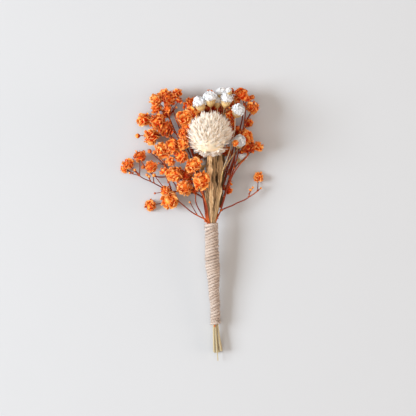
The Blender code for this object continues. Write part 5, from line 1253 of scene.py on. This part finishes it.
class BouquetGypsophila(bpy.types.Operator):
    """Grow the orange gypsophila sprays: branching stems with knuckles, ruffled blooms and buds"""
    bl_idname = "bouquet.gypsophila"
    bl_label = "Gypsophila sprays"

    def execute(self, context):
        settings = context.scene.bouquet_gypsophila
        # The petals run from painted shade at their roots to a painted highlight at their edges.
        petals = dry_finish(
            "orange_petals", ((0.0, settings.petal_root_shade),
                              (0.3, shaded(settings.petal_root_shade, (1.2, 1.8, 1.6))),
                              (0.5, settings.petal), (1.0, settings.petal_edge)),
            ((0.0, (0.5, 0.16, 0.16)), (0.25, (0.86, 0.6, 0.52)), (0.5, (1.0, 0.88, 0.8)),
             (0.75, (1.0, 0.96, 0.92)), (1.0, (1.0, 1.06, 1.2))),
            mottle_scale=700.0, lengthwise=1.5, crosswise=3.0, streak=0.06, relief=0.15,
            roughness=(0.65, 0.9), glow=0.2, glow_colour=(1.0, 0.4, 0.15))
        stems = dry_finish(
            "red_brown_stems", ((0.0, settings.stem), (0.7, shaded(settings.stem, 1.15)),
                                (1.0, shaded(settings.knuckle, 0.7))),
            ((0.0, (0.55, 0.42, 0.42)), (1.0, (1.15, 1.15, 1.1))), accent=settings.knuckle,
            mottle_scale=500.0, lengthwise=8.0, crosswise=3.0, streak=0.4, relief=0.4, roughness=(0.5, 0.75))
        for seed, (name, spray) in enumerate(SPRAYS.items()):
            random = np.random.default_rng(SPRAY_SEED + seed)
            stalks, blooms = self.spray(settings, random, *spray)
            if name == "gypsophila_front":
                stub = arc_path(*np.array(ORANGE_STUB), 6)
                stalks.append(tube(stub, 0.3, 0.3, 1.0, mark=0.6))
            add_piece(name + "_stems", stalks, stems, "orange_bloom", name)
            add_piece(name + "_blooms", blooms, petals, "orange_bloom", name)
        return {"FINISHED"}

    def spray(self, settings, random, degrees, way, branches, blooms):
        """One spray: its main stem, its branches with knuckles, and each stalk with its bloom or bud."""
        thick = settings.stem_radius / MM
        slim = settings.stalk_radius / MM
        stalks, petals = [], []
        main = [*in_binding(degrees, OUTER_RING, THIN_STEM_STATIONS), *way]
        stalks.append(self.stem(random, smooth_path(main, 0.7), thick, 0.85 * thick, 0.0))
        for branch in branches:
            stalks.append(self.stem(random, smooth_path(branch, 0.6), 0.9 * thick, 0.62 * thick, 1.0))
            stalks.append(self.scales(random, np.array(branch[0]), np.array(branch[1]), thick))
        for spring, centre, radius, turned_up, tone, lobes in blooms:
            spring, centre = np.array(spring, dtype=float), np.array(centre)
            facing = unit(unit(centre - spring) + turned_up * UP)
            base = centre - facing * 0.45 * radius
            length = np.linalg.norm(base - spring)
            bend = base - facing * 0.4 * length
            bend[2] = max(bend[2], LOWEST_STALK)
            path = arc_path(spring, bend, base, max(6, int(length / 0.7)))
            stalks.append(self.stem(random, path, slim, 0.7 * slim, 1.0))
            stalks.append(self.scales(random, spring, bend, slim))
            stalks.append(self.calyx(random, base, facing, radius))
            grow = self.bloom if radius > 1.3 else self.bud
            petals.extend(grow(settings, random, centre, settings.fluff * radius, facing, tone))
            for east, north, size in lobes:
                aside = np.array((east, north, -0.15 * radius))
                petals.append(self.petals(settings, random, centre + aside, settings.fluff * size,
                                          unit(unit(aside) + UP), tone, 7))
        return stalks, petals

    def stem(self, random, path, start, end, knuckle):
        """A stem that tapers and wavers, swells in a knuckle where it springs, and is orange at the twine."""
        share = np.linspace(0.0, 1.0, len(path))
        walked = np.linspace(0.0, np.linalg.norm(np.diff(path, axis=0), axis=1).sum(), len(path))
        swollen = knuckle * np.exp(-(walked / 0.55) ** 2)
        radius = (start + (end - start) * share) * (1.0 + 0.75 * swollen)
        waver = 0.07 * np.sin(walked[:, None] * random.uniform(0.5, 0.9, 3) + random.uniform(0, 6, 3))
        waver = waver * (np.minimum(share, 1 - share) * 4.0).clip(0, 1)[:, None]
        foot = 0.7 * np.exp(-((path[:, 1] - 2.5) / 2.5) ** 2)
        return tube(path + waver, radius, radius, random.uniform(0, 1), sides=7,
                    mark=np.maximum(swollen, foot)[:, None])

    def scales(self, random, place, onward, thick):
        """Three small pointed scales at a knuckle, which stand out round the stem."""
        along = unit(onward - place)
        spoke = golden_spread(along, 3, random.uniform(0, 6))
        root = place + spoke * thick * 0.5 - along * 0.1
        tip = place + spoke * thick * 2.6 + along * random.uniform(0.5, 0.9, (3, 1))
        bend = (root + tip) / 2 + spoke * thick * 0.4
        return blades(root, bend, tip, along - spoke, 0.2, KNUCKLE_SCALE_OUTLINE, 0.05,
                      random.uniform(0.4, 1.0, 3), cup=0.3)

    def calyx(self, random, base, facing, radius):
        """The small cup under a bloom, as a solid turned round its axis."""
        profile = 0.3 * min(radius, 2.4) * np.array(CALYX_PROFILE)
        return turned(base, facing, profile, random.uniform(0.3, 1.0), sides=7, mark=0.55)

    def petals(self, settings, random, centre, radius, facing, tone, count, frill=0.15):
        """Ruffled, notched petals over a ball. The frill makes the middle ones narrow, folded and wavy."""
        tint = np.clip(tone + random.normal(0, 0.08) + random.normal(0, 0.16, count), 0, 1)
        inner = frill * np.linspace(1.0, 0.0, count) ** 2
        half_width = radius * settings.petal_width * random.uniform(0.75, 1.2, count) * (1.05 - 0.5 * inner)
        return rosette(random, centre, radius, facing, count, 2.15, (-0.5, 0.2), (0.86, 1.22), 1.06,
                       half_width=half_width, outline=PETAL_OUTLINE, thickness=settings.petal_thickness / MM,
                       tint=tint, cup=random.uniform(-0.4, 0.1, count) + inner,
                       ruffle=random.uniform(0.05, 0.13, count) + 0.05 * inner,
                       notch=random.uniform(0.0, 0.12, count), steps=6)

    def bloom(self, settings, random, centre, radius, facing, tone):
        """A double bloom: petals all over a round body, and small tufts of petals that stand out of it."""
        # The body runs from the petal roots' painted shade to the petal colour.
        yield turned(centre, facing, radius * np.array(BLOOM_PROFILE), tone, sides=10, grown=0.5)
        count = int(5 + settings.petals * (radius / 3.0) ** 1.2)
        yield self.petals(settings, random, centre, radius, facing, tone, count, frill=0.6)
        for spoke in golden_spread(facing, 6 if radius > 2.2 else 3, random.uniform(0, 6)):
            out = unit(spoke + random.uniform(-0.1, 1.0) * facing)
            size = radius * random.uniform(0.36, 0.62)
            yield self.petals(settings, random, centre + random.uniform(0.7, 0.85) * radius * out, size, out,
                              tone + random.uniform(-0.3, 0.25), 5)

    def bud(self, settings, random, centre, radius, facing, tone):
        """A round bud: a body with petals wrapped over it that meet at its tip."""
        yield turned(centre, facing, radius * np.array(BUD_PROFILE), max(tone - 0.2, 0.0), sides=9)
        count = 8 if radius > 0.75 else 5
        spoke = golden_spread(facing, count, random.uniform(0, 6))
        root = centre - 0.85 * radius * facing + 0.1 * radius * spoke
        tip = centre + random.uniform(0.75, 1.0, (count, 1)) * radius * facing + 0.15 * radius * spoke
        bend = centre + random.uniform(1.6, 1.75, (count, 1)) * radius * spoke
        yield blades(root, bend, tip, spoke + 0.001 * facing, radius * 0.5, BUD_OUTLINE,
                     settings.petal_thickness / MM, np.clip(tone + random.normal(0, 0.15, count), 0, 1),
                     cup=-0.35)


class BouquetStage(bpy.types.Operator):
    """Set up the pale table, the soft window light from the left, the light above and the camera"""
    bl_idname = "bouquet.stage"
    bl_label = "Table, light and camera"

    def execute(self, context):
        settings = context.scene.bouquet_stage
        self.table(settings)
        quarter = math.pi / 2
        self.lamp(settings, "window", settings.light_power, settings.light_width, WINDOW_LIGHT,
                  settings.light_height - quarter, settings.light_distance)
        self.lamp(settings, "ceiling", settings.top_power, 1.4 * settings.top_distance, CEILING_LIGHT, 0.0,
                  settings.top_distance)
        self.lamp(settings, "wall", settings.wall_power, settings.light_width, WALL_LIGHT,
                  quarter - settings.wall_height, settings.light_distance)
        self.room(settings)
        self.camera(settings)
        context.scene.view_settings.view_transform = "Standard"
        context.scene.view_settings.look = "None"
        return {"FINISHED"}

    def table(self, settings):
        """A wide pale table top just under the bunch."""
        half, depth = 3.0, 0.05 * MM
        mesh = bpy.data.meshes.new("table")
        corners = [(-half, -half, -depth), (half, -half, -depth), (half, half, -depth), (-half, half, -depth)]
        mesh.from_pydata(corners, [], [(0, 1, 2, 3)])
        finish, tree, shader = new_finish("table_paper")
        place = add_node(tree, "ShaderNodeTexCoord").outputs["Object"]
        noise = add_node(tree, "ShaderNodeTexNoise", {"Vector": place, "Scale": 30.0, "Detail": 2.0})
        colour = mix_colours(tree, "MIX", noise.outputs["Fac"], settings.table, shaded(settings.table, 0.985))
        fill_inputs(tree, shader, {"Base Color": colour, "Roughness": 0.9, "Specular IOR Level": 0.1})
        mesh.materials.append(finish)
        table = add_object("table", mesh)

    def lamp(self, settings, name, power, size, colour, turn, distance):
        """A square area light, hidden from the camera and turned from straight above round the y axis."""
        light = bpy.data.lights.new(name, "AREA")
        light.energy, light.size, light.color = power, size, colour
        holder = add_object(name, light)
        holder.location = (settings.view_x + distance * math.sin(turn), settings.view_y,
                           distance * math.cos(turn))
        holder.rotation_euler = (0.0, turn, 0.0)
        holder.visible_camera = False

    def room(self, settings):
        """Even light from all round."""
        world = bpy.data.worlds.new("room")
        world.use_nodes = True
        tree = world.node_tree
        fill_inputs(tree, tree.nodes["Background"], {"Color": (*ROOM_LIGHT, 1.0), "Strength": settings.fill})
        bpy.context.scene.world = world

    def camera(self, settings):
        """A camera straight above, as far away as its lens needs to cover the view width at mid height."""
        mid_height, picture_frame = 10.0 * MM, 36.0
        lens = bpy.data.cameras.new("camera")
        lens.lens, lens.sensor_width = settings.lens, picture_frame
        camera = add_object("camera", lens)
        distance = settings.view_width * settings.lens / picture_frame
        camera.location = (settings.view_x, settings.view_y, mid_height + distance)
        bpy.context.scene.camera = camera


# The add-on

SETTINGS = {
    "bouquet_twine": BouquetTwineSettings,
    "bouquet_stems": BouquetStemSettings,
    "bouquet_globe": BouquetGlobeSettings,
    "bouquet_everlastings": BouquetEverlastingSettings,
    "bouquet_gypsophila": BouquetGypsophilaSettings,
    "bouquet_stage": BouquetStageSettings,
}
STEPS = (BouquetTwine, BouquetDryStems, BouquetGlobe, BouquetEverlastings, BouquetGypsophila, BouquetStage)


class BouquetPanel(bpy.types.Panel):
    """Lists the steps and their settings"""
    bl_idname = "VIEW3D_PT_bouquet"
    bl_label = "Dried flower bouquet"
    bl_space_type = "VIEW_3D"
    bl_region_type = "UI"
    bl_category = "Bouquet"

    def draw(self, context):
        for step, name in zip(STEPS, SETTINGS):
            box = self.layout.box()
            box.operator(step.bl_idname)
            settings = getattr(context.scene, name)
            for key in SETTINGS[name].__annotations__:
                box.prop(settings, key)


def register():
    """Register the settings, the steps and the panel."""
    for name, group in SETTINGS.items():
        bpy.utils.register_class(group)
        setattr(bpy.types.Scene, name, PointerProperty(type=group))
    for kind in (*STEPS, BouquetPanel):
        bpy.utils.register_class(kind)


def unregister():
    """Take away what register added."""
    for kind in (BouquetPanel, *reversed(STEPS)):
        bpy.utils.unregister_class(kind)
    for name, group in SETTINGS.items():
        delattr(bpy.types.Scene, name)
        bpy.utils.unregister_class(group)


def main():
    """Run every step in order."""
    register()
    bpy.ops.bouquet.twine()
    bpy.ops.bouquet.dry_stems()
    bpy.ops.bouquet.globe()
    bpy.ops.bouquet.everlastings()
    bpy.ops.bouquet.gypsophila()
    bpy.ops.bouquet.stage()
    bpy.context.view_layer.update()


if __name__ == "__main__":
    main()
